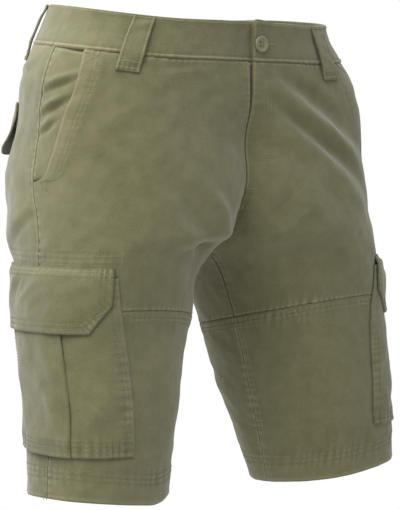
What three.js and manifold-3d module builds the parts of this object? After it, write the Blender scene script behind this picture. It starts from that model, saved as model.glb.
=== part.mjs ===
import * as THREE from 'three';
import { mergeVertices } from 'three/addons/utils/BufferGeometryUtils.js';
import Module from 'manifold-3d';

// Cargo shorts, hollow and filled out as if worn. Sizes are millimetres, +Z is up, +X is the
// wearer's left and the front faces -Y. The origin is the middle of the waist opening.
//
// One surface, the outer face of the panels, carries every piece. A place on it is a height z and
// an arc, the distance along the cloth from the side seam, positive towards the front. Every piece
// is made from such places, moved out or in along the surface's normal.

// Cloth
const clothThickness = 1.4;
const pocketThickness = 1;
const doubledThickness = 1.6;
const waistbandThickness = 3;
const seamGap = 0.3;
const waistSeamGap = 0.5;

// Heights
const waistFront = -8.2;
const waistBack = 9.8;
const waistbandHeight = 40;
const hipHeight = -170;
const crotchHeight = -234;
const thighSeamHeight = -311.7;
const hemHeight = -486.6;
const hemDepth = 27;
const hemFold = { thickness: 1.5, lift: 0.4, step: 1.5 };

// Where the pieces that lie on the panels start, out from the panel
const overlayLift = 0.9;
const waistbandLift = 0.8;
const seamBandLift = 0.5;
const seamBandDepth = 12;
const seamBandStep = 1.5;
const seamBandEnd = { from: 94, to: 104 };

// Sections of one leg, top to bottom. The radii run from the leg's centre to the middle of the
// body, the side, the front and the back; shear leans the section.
const sections = [
  { z: 45, centerX: 0, centerY: -21.5, inner: 155, outer: 157.5, front: 109.5, back: 103, shear: 0 },
  { z: -10, centerX: 0, centerY: -5.5, inner: 163, outer: 165.5, front: 99.5, back: 122, shear: 0 },
  { z: -60, centerX: 26.5, centerY: -17.5, inner: 162.5, outer: 169, front: 87, back: 137.5, shear: 0.02 },
  { z: -115, centerX: 58, centerY: -11.5, inner: 112, outer: 143, front: 97.5, back: 144.5, shear: 0.12 },
  { z: -170, centerX: 79.5, centerY: -9, inner: 117, outer: 126.5, front: 109.5, back: 136, shear: 0.03 },
  { z: -200, centerX: 89.8, centerY: -15.7, inner: 105, outer: 117.5, front: 108.2, back: 127.3, shear: 0 },
  { z: -234, centerX: 101.2, centerY: -22.4, inner: 101.2, outer: 108.5, front: 102.6, back: 118.5, shear: 0.02 },
  { z: -260, centerX: 109.8, centerY: -24.3, inner: 89, outer: 103, front: 96, back: 113.8, shear: 0.07 },
  { z: -300, centerX: 121.5, centerY: -26, inner: 84, outer: 96, front: 86.5, back: 107, shear: 0.14 },
  { z: -400, centerX: 136, centerY: -31.5, inner: 73.5, outer: 83, front: 87, back: 84.5, shear: 0.17 },
  { z: -515, centerX: 157.5, centerY: -43, inner: 75, outer: 73.5, front: 69, back: 56, shear: 0.16 },
];
const squareness = 2.25;

// The waist rises from the front round each side. Places are shares of the way from the middle of
// the front to the middle of the back. The right side of the back is a little above the left.
const waistRise = { from: 0.16, to: 0.66, tilt: 1.25, tiltFrom: 0.68, tiltTo: 1 };

// Hollow where each thigh draws in under the crotch: steep above, slow below
const thighHollow = { top: -222, deep: -242, low: -310, arc: 214, width: 56, right: -20, left: -6 };

// The right leg's hem rises a little towards the inseam
const hemRise = { from: 140, to: 195, rise: 9 };

// Seams that slope: rise for each millimetre outwards and backwards from the leg's centre
const thighSeamSlope = { outwards: 0.057, backwards: -0.18 };
const hemSlope = { outwards: 0.132, backwards: -0.036 };

// The side seam swings forward down the leg, and the left hip is worn turned a little forward
const sideSeamSwing = { from: -215, to: -400, arc: 23 };
const leftHipTurn = { from: -110, to: -275, arc: 36, rest: 6 };

// The slanted edge of the front pocket, from the waistband to the side seam
const pocketMouth = [
  { z: -40, arc: 39 },
  { z: -65, arc: 41 },
  { z: -85, arc: 39.5 },
  { z: -109, arc: 35 },
  { z: -138, arc: 30 },
  { z: -160, arc: 22 },
  { z: -166, arc: 15 },
  { z: -170, arc: 0 },
];
const facingDip = 2.1;
const facingUnderlap = 20;

// Zip opening: the right front stands back from the middle at the top
const flyOpening = { top: -48, bottom: -118, width: 5.2 };
const zipTape = { top: -49.5, bottom: -166, edges: [14, 7, 0, -5, -9], lift: -2.6, thickness: 1 };

// Waistband ends: the left end lies over the right one
const overlap = { underLength: 27, overLength: 1, depth: 3.6, sunkTo: 0.006, levelFrom: 0.06 };

const cargoPocket = { top: -262, bottom: -434, halfWidth: 92, lift: 2.2, edgeLift: 1.4, edge: 9 };
const pleat = { center: -4, halfWidth: 34, tuck: 13, step: 1.4, crown: 0.8 };
const cargoFlap = { top: -252, bottom: -316, halfWidth: 89, chamferTop: -288, chamfer: 20 };
const flapLift = { seam: 1.7, overPocket: 4.6, overPleat: 8, shoulder: 9, pleatReach: 76 };
const backFlap = { drop: 60, depth: 49, point: 7, center: -131, halfWidth: 66, chamfer: 14, flare: 7.5 };

// Belt loops: how far round from the middle of the front, as a share of half the girth, and how
// much further round their lower end is
const beltLoops = [
  { name: 'belt_loop_front_right', side: -1, share: 0.281, lean: 0.012 },
  { name: 'belt_loop_front_left', side: 1, share: 0.228, lean: 0 },
  { name: 'belt_loop_back_right', side: -1, share: 0.635, lean: 0 },
  { name: 'belt_loop_back_left', side: 1, share: 0.635, lean: 0 },
  { name: 'belt_loop_center_back', side: 1, share: 1, lean: 0 },
];
const beltLoopWidth = 23;
const beltLoopPath = [
  { down: 0.6, lift: 1.2 },
  { down: 4, lift: 1.5 },
  { down: 11, lift: 3.4 },
  { down: 24, lift: 4 },
  { down: 38, lift: 3.6 },
  { down: 47, lift: 2 },
  { down: 52, lift: 0.9 },
  { down: 57, lift: 0.9 },
];

const button = { diameter: 17, thickness: 3, rim: 2.2, dish: 0.9, holeDiameter: 2, holeSpacing: 3.6 };
const buttonPlace = { fromMiddle: 10, below: 22, gap: 0.4 };

// The largest folds. Length and width are half measures along and across a fold, and tilt is
// degrees from level, rising to the front. A negative lift is a trough.
const folds = [
  { side: 1, z: -112, arc: 165, length: 75, width: 15, lift: 5, tilt: 38 },
  { side: 1, z: -86, arc: 160, length: 62, width: 14, lift: -4, tilt: 36 },
  { side: 1, z: -150, arc: 176, length: 70, width: 16, lift: 4.5, tilt: 40 },
  { side: 1, z: -131, arc: 170, length: 66, width: 11, lift: -4, tilt: 39 },
  { side: 1, z: -196, arc: 196, length: 62, width: 17, lift: 3, tilt: 38 },
  { side: -1, z: -196, arc: 214, length: 44, width: 10, lift: 3, tilt: -48 },
  { side: -1, z: -213, arc: 190, length: 44, width: 11, lift: -3, tilt: -46 },
  { side: -1, z: -232, arc: -96, length: 70, width: 16, lift: 3.5, tilt: 24 },
  { side: -1, z: -198, arc: -190, length: 70, width: 18, lift: 4, tilt: 38 },
  { side: 1, z: -232, arc: -96, length: 70, width: 16, lift: 3.5, tilt: 24 },
  { side: 1, z: -206, arc: -180, length: 70, width: 18, lift: 4, tilt: 36 },
];

const colors = {
  twill: 0x8a875f,
  twillDark: 0x77754f,
  twillFlap: 0x918e66,
  tape: 0x5b4a42,
  button: 0x6d6a48,
};

const { clamp, lerp, smoothstep, degToRad } = THREE.MathUtils;

// The leg's surface

const sectionKeys = ['centerX', 'centerY', 'inner', 'outer', 'front', 'back', 'shear'];

// Slope of one column of the table at row i, from the parabola through the rows beside it
function slopeAt(i, key) {
  const above = sections[Math.max(i - 1, 0)];
  const here = sections[i];
  const below = sections[Math.min(i + 1, sections.length - 1)];
  if (above === here || below === here) {
    return (below[key] - above[key]) / (above.z - below.z);
  }
  const up = above.z - here.z;
  const down = here.z - below.z;
  const rise = up * up * below[key] + (down * down - up * up) * here[key] - down * down * above[key];
  return rise / (up * down * (up + down));
}

// Smooth section at any height, by cubic Hermite curves between the rows
function sectionAt(z) {
  const top = sections[0].z;
  const depth = clamp(top - z, 0, top - sections[sections.length - 1].z);
  let i = 0;
  while (i < sections.length - 2 && depth > top - sections[i + 1].z) {
    i += 1;
  }
  const span = sections[i].z - sections[i + 1].z;
  const t = (depth - (top - sections[i].z)) / span;
  const section = {};
  for (const key of sectionKeys) {
    const start = sections[i][key] * (1 + 2 * t) * (1 - t) ** 2;
    const end = sections[i + 1][key] * (3 - 2 * t) * t ** 2;
    const slopes = slopeAt(i, key) * t * (1 - t) ** 2 - slopeAt(i + 1, key) * (1 - t) * t ** 2;
    section[key] = start + end + span * slopes;
  }
  return section;
}

// Point of the left leg: angle 0 is the inseam, then a quarter turn each to front, side and back
function legPoint(section, z, angle) {
  const across = Math.cos(angle);
  const along = Math.sin(angle);
  const roundAcross = Math.sign(across) * Math.abs(across) ** (2 / squareness);
  const roundAlong = Math.sign(along) * Math.abs(along) ** (2 / squareness);
  const reachX = across > 0 ? section.inner : section.outer;
  const reachY = along > 0 ? section.front : section.back;
  const y = -roundAlong * reachY;
  const x = section.centerX - roundAcross * reachX - section.shear * y;
  return new THREE.Vector3(x, section.centerY + y, z);
}

const ringSteps = 360;
const rings = new Map();

// Arc lengths round the leg at one height, measured once and kept
function ringAt(z) {
  const key = Math.round(z * 50);
  if (!rings.has(key)) {
    rings.set(key, measureRing(key / 50));
  }
  return rings.get(key);
}

function measureRing(z) {
  const section = sectionAt(z);
  const points = [];
  const lengths = [0];
  for (let i = 0; i <= ringSteps; i += 1) {
    points.push(legPoint(section, z, (2 * Math.PI * i) / ringSteps));
    if (i > 0) {
      lengths.push(lengths[i - 1] + points[i].distanceTo(points[i - 1]));
    }
  }
  const side = ringSteps / 2;
  const arcs = lengths.map((length) => lengths[side] - length);
  const middle = (step) => {
    let i = side;
    while (i !== side + step * side && points[i].x > 0) {
      i += step;
    }
    const last = i - step;
    const share = points[i].x < 0 ? points[last].x / (points[last].x - points[i].x) : 1;
    return lerp(arcs[last], arcs[i], share);
  };
  return { arcs, front: middle(-1), back: middle(1) };
}

function angleAt(ring, arc) {
  let low = 0;
  let high = ringSteps;
  while (high - low > 1) {
    const half = (low + high) >> 1;
    if (ring.arcs[half] > arc) {
      low = half;
    } else {
      high = half;
    }
  }
  const share = (ring.arcs[low] - arc) / (ring.arcs[low] - ring.arcs[high]);
  return (2 * Math.PI * (low + clamp(share, 0, 1))) / ringSteps;
}

function hollowLift(side, z, arc) {
  const { top, deep, low, width, right, left } = thighHollow;
  const down = smoothstep(-z, -top, -deep) * (1 - smoothstep(-z, -deep, -low));
  const depth = side > 0 ? left : right;
  return depth * down * Math.exp(-(((arc - thighHollow.arc) / width) ** 2));
}

// Folds as soft ridges: each one fades as a bell curve along and across its line
function foldLift(side, z, arc) {
  let lift = hollowLift(side, z, arc);
  for (const fold of folds) {
    if (fold.side === side) {
      const tilt = degToRad(fold.tilt);
      const along = Math.cos(tilt) * (arc - fold.arc) + Math.sin(tilt) * (z - fold.z);
      const across = Math.cos(tilt) * (z - fold.z) - Math.sin(tilt) * (arc - fold.arc);
      lift += fold.lift * Math.exp(-((along / fold.length) ** 2) - (across / fold.width) ** 2);
    }
  }
  const ring = ringAt(z);
  const fromMiddle = Math.min(ring.front - arc, arc - ring.back);
  const fromWaist = waistFront - waistbandHeight - z;
  return lift * smoothstep(fromMiddle, 4, 30) * smoothstep(fromWaist, 0, 30);
}

// Place on the cloth: side 1 is the wearer's left leg and -1 the right one
function clothPoint(side, z, arc, lift) {
  const angle = angleAt(ringAt(z), arc);
  const angleStep = 0.02;
  const heightStep = 1;
  const section = sectionAt(z);
  const point = legPoint(section, z, angle);
  const across = legPoint(section, z, angle + angleStep).sub(legPoint(section, z, angle - angleStep));
  const above = legPoint(sectionAt(z + heightStep), z + heightStep, angle);
  const below = legPoint(sectionAt(z - heightStep), z - heightStep, angle);
  const normal = across.cross(above.sub(below)).normalize();
  point.addScaledVector(normal, lift + foldLift(side, z, arc));
  point.x *= side;
  return point;
}

// The same place, kept on its own side of the body's middle
function panelPoint(side, z, arc, lift) {
  const point = clothPoint(side, z, arc, lift);
  point.x = side * Math.max(side * point.x, seamGap / 2);
  return point;
}

// Round the waist: turn 0 is the middle of the front, 1 the middle of the back, 2 the front again
function shareOf(turn) {
  return turn <= 1 ? Math.abs(turn) : Math.abs(2 - turn);
}

function sideOf(turn) {
  return (turn >= 0 && turn <= 1) || turn > 2 ? -1 : 1;
}

function girthPoint(turn, z, lift) {
  const share = shareOf(turn);
  const ring = ringAt(z);
  const point = clothPoint(sideOf(turn), z, lerp(ring.front, ring.back, share), lift);
  if (share === 0 || share === 1) {
    point.x = 0;
  }
  return point;
}

const halfGirth = ringAt(-30).front - ringAt(-30).back;

function turnFrom(side, share) {
  return side < 0 ? share : 2 - share;
}

// Height of the waistband's top edge at a turn
function girthTop(turn) {
  return waistTopAt(sideOf(turn), shareOf(turn));
}

// Heights of the seams, each found by a few steps towards its own curve

function settle(start, next) {
  let z = start;
  for (let step = 0; step < 5; step += 1) {
    z = next(z);
  }
  return z;
}

function waistTopAt(side, share) {
  const { from, to, tilt, tiltFrom, tiltTo } = waistRise;
  const back = waistBack - side * tilt * (1 - smoothstep(share, tiltFrom, tiltTo));
  return lerp(waistFront, back, smoothstep(share, from, to));
}

function bandBottomAt(side, z, arc) {
  const { front, back } = ringAt(z);
  return waistTopAt(side, (front - arc) / (front - back)) - waistbandHeight;
}

function slopedHeight(height, slope, z, arc) {
  const section = sectionAt(z);
  const point = legPoint(section, z, angleAt(ringAt(z), arc));
  const outwards = slope.outwards * (point.x - section.centerX);
  return height + outwards + slope.backwards * (point.y - section.centerY);
}

function hemAt(side, z, arc) {
  const rise = side < 0 ? hemRise.rise * smoothstep(Math.abs(arc), hemRise.from, hemRise.to) : 0;
  return slopedHeight(hemHeight, hemSlope, z, arc) + rise;
}

function sideSeamArc(side, z) {
  const swing = sideSeamSwing.arc * smoothstep(-z, -sideSeamSwing.from, -sideSeamSwing.to);
  if (side < 0) {
    return swing;
  }
  const { from, to, arc, rest } = leftHipTurn;
  const turn = lerp(arc, rest, smoothstep(-z, -from, -to));
  return swing + turn * smoothstep(z, -470, -400);
}

function mouthArc(z) {
  let i = 0;
  while (i < pocketMouth.length - 2 && z < pocketMouth[i + 1].z) {
    i += 1;
  }
  const above = pocketMouth[i];
  const below = pocketMouth[i + 1];
  return lerp(above.arc, below.arc, clamp((above.z - z) / (above.z - below.z), 0, 1));
}

// Arcs of a panel's two long edges
const panelEdges = {
  front: {
    near: (z, side) => sideSeamArc(side, z) + mouthArc(z) + seamGap / 2,
    far: (z, side) => {
      const open = side < 0 ? flyOpening.width * smoothstep(z, flyOpening.bottom, flyOpening.top) : 0;
      return ringAt(z).front - seamGap / 2 - open;
    },
  },
  back: {
    near: (z, side) => sideSeamArc(side, z) - seamGap / 2,
    far: (z) => ringAt(z).back + seamGap / 2,
  },
};

// Solids

// Closed wall from two grids of points, its outer and inner face, with a rim round them. Each
// square is split along its shorter diagonal, so that a sheared one still follows the curve.
function wallGeometry(columns, rows, pointAt) {
  const positions = [];
  for (const face of [0, 1]) {
    for (let row = 0; row <= rows; row += 1) {
      for (let column = 0; column <= columns; column += 1) {
        positions.push(...pointAt(column, row, face).toArray());
      }
    }
  }
  const sheet = (columns + 1) * (rows + 1);
  const id = (column, row, face) => face * sheet + row * (columns + 1) + column;
  const index = [];
  const corner = (i) => new THREE.Vector3().fromArray(positions, 3 * i);
  const quad = (a, b, c, d) => index.push(a, b, c, a, c, d);
  const squareOf = (ring) => {
    const [a, b, c, d] = ring;
    const straight = corner(a).distanceTo(corner(c)) <= corner(b).distanceTo(corner(d));
    return straight ? ring : [b, c, d, a];
  };
  for (let row = 0; row < rows; row += 1) {
    for (let column = 0; column < columns; column += 1) {
      const corners = [[0, 0], [1, 0], [1, 1], [0, 1]].map(([x, y]) => [column + x, row + y]);
      const [a, b, c, d] = squareOf(corners.map(([x, y]) => id(x, y, 0)));
      quad(a, b, c, d);
      quad(c + sheet, b + sheet, a + sheet, d + sheet);
    }
  }
  for (let column = 0; column < columns; column += 1) {
    quad(id(column, 0, 1), id(column + 1, 0, 1), id(column + 1, 0, 0), id(column, 0, 0));
    quad(id(column, rows, 0), id(column + 1, rows, 0), id(column + 1, rows, 1), id(column, rows, 1));
  }
  for (let row = 0; row < rows; row += 1) {
    quad(id(0, row, 0), id(0, row + 1, 0), id(0, row + 1, 1), id(0, row, 1));
    quad(id(columns, row, 1), id(columns, row + 1, 1), id(columns, row + 1, 0), id(columns, row, 0));
  }
  return facingOut(positions, index);
}

// Geometry whose triangles are turned, if need be, so that the solid's volume is positive
function facingOut(positions, index) {
  const corner = (i) => new THREE.Vector3().fromArray(positions, 3 * index[i]);
  let volume = 0;
  for (let i = 0; i < index.length; i += 3) {
    volume += corner(i).dot(corner(i + 1).cross(corner(i + 2)));
  }
  const geometry = new THREE.BufferGeometry();
  geometry.setAttribute('position', new THREE.Float32BufferAttribute(positions, 3));
  geometry.setIndex(volume < 0 ? index.reverse() : index);
  geometry.computeVertexNormals();
  return geometry;
}

const shorts = new THREE.Group();

function addPiece(name, geometry, color, roughness = 0.92) {
  const material = new THREE.MeshStandardMaterial({ color, roughness, metalness: 0 });
  const mesh = new THREE.Mesh(geometry, material);
  mesh.name = name;
  shorts.add(mesh);
  return mesh;
}

const sides = [
  { name: 'right', side: -1 },
  { name: 'left', side: 1 },
];

// Upper panels, from the waistband to the thigh seam

const hipShares = [0, 0.13, 0.26, 0.39, 0.52, 0.65, 0.78, 0.88, 0.95];
const crotchRises = [64, 48, 34, 22, 12, 5, 1.2, 0];
const thighShares = [0.17, 0.34, 0.51, 0.68, 0.84, 1];

function upperHeights(side, arcAt) {
  const start = waistFront - waistbandHeight;
  const top = settle(start, (z) => bandBottomAt(side, z, arcAt(z)) - waistSeamGap);
  const seam = (z) => slopedHeight(thighSeamHeight, thighSeamSlope, z, arcAt(z)) + seamGap / 2;
  const bottom = settle(thighSeamHeight, seam);
  return [
    ...hipShares.map((share) => lerp(top, hipHeight, share)),
    ...crotchRises.map((rise) => crotchHeight + rise),
    ...thighShares.map((share) => lerp(crotchHeight, bottom, share)),
  ];
}

function addUpperPanel(name, side, edges, columns) {
  const arcOf = (column) => (z) => lerp(edges.near(z, side), edges.far(z, side), column / columns);
  const heights = [];
  for (let column = 0; column <= columns; column += 1) {
    heights.push(upperHeights(side, arcOf(column)));
  }
  const geometry = wallGeometry(columns, heights[0].length - 1, (column, row, face) => {
    const z = heights[column][row];
    return panelPoint(side, z, arcOf(column)(z), -face * clothThickness);
  });
  addPiece(name, geometry, colors.twill);
}

// Lower panels, from the thigh seam to the hem. The seam's turned edge stands out as a band at the
// top, and the folded hem is thicker.

const bandRows = [0, seamBandDepth, seamBandDepth + seamBandStep];
const legShares = [0.17, 0.34, 0.5, 0.67, 0.84, 1];
const hemRows = 3;

function addLowerPanel(name, side, edges, columns) {
  const arcOf = (column) => (z) => lerp(edges.near(z, side), edges.far(z, side), column / columns);
  const pointAt = (column, row, face) => {
    const arcAt = arcOf(column);
    const seam = (z) => slopedHeight(thighSeamHeight, thighSeamSlope, z, arcAt(z)) - seamGap / 2;
    const top = settle(thighSeamHeight, seam);
    const bottom = settle(hemHeight, (z) => hemAt(side, z, arcAt(z)));
    const bandEnd = top - bandRows[bandRows.length - 1];
    const hemStart = bottom + hemDepth;
    const heights = [
      ...bandRows.map((drop) => top - drop),
      ...legShares.map((share) => lerp(bandEnd, hemStart, share)),
      hemStart - hemFold.step,
      lerp(hemStart, bottom, 0.5),
      bottom,
    ];
    const z = heights[row];
    const arc = arcAt(z);
    const fromSeam = Math.abs(arc - sideSeamArc(side, z));
    const underPocket = 1 - smoothstep(fromSeam, seamBandEnd.from, seamBandEnd.to);
    const inHem = row >= heights.length - hemRows;
    const inBand = z >= top - seamBandDepth;
    const outer = inBand ? seamBandLift * (1 - underPocket) : inHem ? hemFold.lift : 0;
    const inner = inHem ? clothThickness + hemFold.thickness : clothThickness;
    return panelPoint(side, z, arc, face === 0 ? outer : -inner);
  };
  const rows = bandRows.length + legShares.length + hemRows - 1;
  addPiece(name, wallGeometry(columns, rows, pointAt), colors.twill);
}

for (const { name, side } of sides) {
  addUpperPanel(`front_upper_${name}`, side, panelEdges.front, 15);
  addUpperPanel(`back_upper_${name}`, side, panelEdges.back, 16);
  addLowerPanel(`front_lower_${name}`, side, panelEdges.front, 15);
  addLowerPanel(`back_lower_${name}`, side, panelEdges.back, 16);
}

// Front pocket facings, seen between the side seam and the slanted edge, then running under it

function addFacing(name, side) {
  const columns = 6;
  const visible = 3;
  const shares = [...hipShares, 0.985];
  const arcOf = (column) => (z) => {
    const seam = sideSeamArc(side, z);
    const edge = seam + mouthArc(z);
    if (column <= visible) {
      return lerp(seam + seamGap / 2, edge, column / visible);
    }
    return edge + (facingUnderlap * (column - visible)) / (columns - visible);
  };
  const geometry = wallGeometry(columns, shares.length - 1, (column, row, face) => {
    const arcAt = arcOf(column);
    const start = waistFront - waistbandHeight;
    const top = settle(start, (z) => bandBottomAt(side, z, arcAt(z)) - waistSeamGap);
    const z = lerp(top, hipHeight, shares[row]);
    const dip = facingDip * smoothstep(column / visible, 0, 0.95);
    return panelPoint(side, z, arcAt(z), -dip - face * clothThickness);
  });
  addPiece(name, geometry, colors.twillDark);
}

for (const { name, side } of sides) {
  addFacing(`pocket_facing_${name}`, side);
}

// Waistband, one strip from its right end under the left one, round the back, to its left end

function addWaistband() {
  const under = overlap.underLength / halfGirth;
  const over = 2 + overlap.overLength / halfGirth;
  const { sunkTo, levelFrom } = overlap;
  const rows = 3;
  const stretches = [
    { from: -under, to: sunkTo, columns: 4 },
    { from: sunkTo, to: levelFrom, columns: 4 },
    { from: levelFrom, to: over, columns: 60 },
  ];
  const turns = [-under];
  for (const { from, to, columns } of stretches) {
    for (let column = 1; column <= columns; column += 1) {
      turns.push(lerp(from, to, column / columns));
    }
  }
  const geometry = wallGeometry(turns.length - 1, rows, (column, row, face) => {
    const turn = turns[column];
    const z = girthTop(turn) - (waistbandHeight * row) / rows;
    const sunk = overlap.depth * (1 - smoothstep(turn, sunkTo, levelFrom));
    return girthPoint(turn, z, waistbandLift - sunk - face * waistbandThickness);
  });
  addPiece('waistband', geometry, colors.twill);
}

addWaistband();

// Zip tape behind the fly

function addZipTape() {
  const rows = 10;
  const geometry = wallGeometry(zipTape.edges.length - 1, rows, (column, row, face) => {
    const z = lerp(zipTape.top, zipTape.bottom, row / rows);
    const ring = ringAt(z);
    const turn = zipTape.edges[column] / (ring.front - ring.back);
    return girthPoint(turn, z, zipTape.lift - face * zipTape.thickness);
  });
  addPiece('zip_tape', geometry, colors.tape);
}

addZipTape();

// Cargo pockets: one sheet with a box pleat, its centre line followed as arc from the side seam
// and lift from the panel

function pleatPath() {
  const { halfWidth, edge, edgeLift, lift } = cargoPocket;
  const outer = pleat.halfWidth;
  const tuckArc = outer - pleat.tuck;
  const half = [
    { arc: halfWidth, lift: edgeLift },
    { arc: halfWidth - edge, lift: lerp(edgeLift, lift, 0.8) },
    { arc: halfWidth - 2.4 * edge, lift },
    { arc: outer + 14, lift },
    { arc: outer, lift },
    { arc: tuckArc, lift },
    { arc: tuckArc - 1, lift: lift + pleat.step / 2 },
    { arc: tuckArc, lift: lift + pleat.step },
    { arc: outer, lift: lift + pleat.step },
    { arc: outer + 1, lift: lift + 1.5 * pleat.step },
    { arc: outer, lift: lift + 2 * pleat.step },
    { arc: tuckArc, lift: lift + 2 * pleat.step + 0.3 },
  ];
  const crown = { arc: 0, lift: lift + 2 * pleat.step + pleat.crown };
  const mirrored = half.map((point) => ({ arc: -point.arc, lift: point.lift })).reverse();
  return [...half, crown, ...mirrored];
}

function addCargoPocket(name, side) {
  const path = pleatPath();
  const rows = 7;
  const normals = path.map((point, i) => {
    const before = path[Math.max(i - 1, 0)];
    const after = path[Math.min(i + 1, path.length - 1)];
    return new THREE.Vector2(after.lift - before.lift, before.arc - after.arc).normalize();
  });
  const geometry = wallGeometry(path.length - 1, rows, (column, row, face) => {
    const z = lerp(cargoPocket.top, cargoPocket.bottom, row / rows);
    const offset = (0.5 - face) * pocketThickness;
    const shift = pleatShift(path[column].arc);
    const arc = sideSeamArc(side, z) + path[column].arc + shift + normals[column].x * offset;
    return panelPoint(side, z, arc, path[column].lift + normals[column].y * offset);
  });
  addPiece(name, geometry, colors.twillFlap);
}

// The pleat sits a little behind the pocket's middle: the shift fades to the side edges
function pleatShift(arc) {
  const reach = smoothstep(Math.abs(arc), pleat.halfWidth + 4, cargoPocket.halfWidth);
  return pleat.center * (1 - reach);
}

// Cargo flaps, chamfered at both lower corners, rising from their seam over the pocket's top

function addCargoFlap(name, side) {
  const columns = 14;
  const { top, chamferTop, bottom, halfWidth, chamfer } = cargoFlap;
  const middle = lerp(chamferTop, bottom, 0.5);
  const heights = [top, top - 4, top - flapLift.shoulder, top - 24, chamferTop, middle, bottom];
  const geometry = wallGeometry(columns, heights.length - 1, (column, row, face) => {
    const z = heights[row];
    const cut = chamfer * clamp((chamferTop - z) / (chamferTop - bottom), 0, 1);
    const across = (2 * column) / columns - 1;
    const fromSeam = across * (halfWidth - cut);
    const rise = smoothstep(top - z, 1, flapLift.shoulder);
    const fromPleat = Math.abs(fromSeam - pleat.center);
    const reach = 1 - smoothstep(fromPleat, pleat.halfWidth + 8, flapLift.pleatReach);
    const over = lerp(flapLift.overPocket, flapLift.overPleat, reach);
    const lift = lerp(flapLift.seam, over, rise) + (row === heights.length - 1 ? 0.3 : 0);
    const arc = sideSeamArc(side, top) + fromSeam;
    return panelPoint(side, z, arc, lift + (0.5 - face) * doubledThickness);
  });
  addPiece(name, geometry, colors.twillFlap);
}

// Back pocket flaps, which stand away from the cloth at their lower edge

function addBackFlap(name, side) {
  const columns = 10;
  const rows = 5;
  const geometry = wallGeometry(columns, rows, (column, row, face) => {
    const down = row / rows;
    const across = (2 * column) / columns - 1;
    const arc = backFlap.center + across * (backFlap.halfWidth - backFlap.chamfer * down ** 3);
    const top = settle(0, (z) => bandBottomAt(side, z, arc)) - backFlap.drop;
    const z = top - down * (backFlap.depth + backFlap.point * (1 - across ** 2));
    const flare = backFlap.flare * down ** 1.6;
    const lift = overlayLift + doubledThickness / 2 + flare;
    return panelPoint(side, z, arc, lift + (0.5 - face) * doubledThickness);
  });
  addPiece(name, geometry, colors.twillFlap);
}

for (const { name, side } of sides) {
  addCargoPocket(`cargo_pocket_${name}`, side);
  addCargoFlap(`cargo_flap_${name}`, side);
  addBackFlap(`back_flap_${name}`, side);
}

// Belt loops, sewn down at both ends and clear of the band between them

function addBeltLoop({ name, side, share, lean }) {
  const half = beltLoopWidth / 2 / halfGirth;
  const columns = 2;
  const geometry = wallGeometry(columns, beltLoopPath.length - 1, (column, row, face) => {
    const { down, lift } = beltLoopPath[row];
    const middle = turnFrom(side, share + (lean * down) / beltLoopPath[beltLoopPath.length - 1].down);
    const turn = lerp(middle - half, middle + half, column / columns);
    return girthPoint(turn, girthTop(turn) - down, lift + (1 - face) * doubledThickness);
  });
  addPiece(name, geometry, colors.twillFlap);
}

beltLoops.forEach(addBeltLoop);

// Button with a raised rim and four holes

const wasm = await Module();
wasm.setup();

function solidOf(geometry) {
  const bare = geometry.clone();
  bare.deleteAttribute('normal');
  bare.deleteAttribute('uv');
  const merged = mergeVertices(bare, 1e-4);
  return new wasm.Manifold(
    new wasm.Mesh({
      numProp: 3,
      vertProperties: new Float32Array(merged.attributes.position.array),
      triVerts: new Uint32Array(merged.index.array),
    }),
  );
}

function geometryOf(solid) {
  const mesh = solid.getMesh();
  const geometry = new THREE.BufferGeometry();
  geometry.setAttribute('position', new THREE.BufferAttribute(mesh.vertProperties, 3));
  geometry.setIndex(new THREE.BufferAttribute(mesh.triVerts, 1));
  geometry.computeVertexNormals();
  return geometry;
}

function addButton() {
  const radius = button.diameter / 2;
  const floor = button.thickness - button.dish;
  const profile = [
    [0, 0],
    [radius - 1, 0],
    [radius, 0.8],
    [radius, button.thickness - 0.7],
    [radius - 0.8, button.thickness],
    [radius - button.rim + 0.6, button.thickness],
    [radius - button.rim, floor],
    [0, floor],
  ].map(([r, height]) => new THREE.Vector2(r, height));
  let solid = solidOf(new THREE.LatheGeometry(profile, 20));
  const hole = new THREE.CylinderGeometry(button.holeDiameter / 2, button.holeDiameter / 2, 8, 8);
  for (const x of [-0.5, 0.5]) {
    for (const y of [-0.5, 0.5]) {
      const placed = hole.clone().translate(x * button.holeSpacing, 1, y * button.holeSpacing);
      solid = solid.subtract(solidOf(placed));
    }
  }
  const mesh = addPiece('button', geometryOf(solid), colors.button, 0.45);
  const z = waistFront - buttonPlace.below;
  const turn = 2 - buttonPlace.fromMiddle / halfGirth;
  const seat = girthPoint(turn, z, waistbandLift + buttonPlace.gap);
  const outwards = girthPoint(turn, z, waistbandLift + 10).sub(seat).normalize();
  mesh.position.copy(seat);
  mesh.quaternion.setFromUnitVectors(new THREE.Vector3(0, 1, 0), outwards);
}

addButton();

export default shorts;
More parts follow.
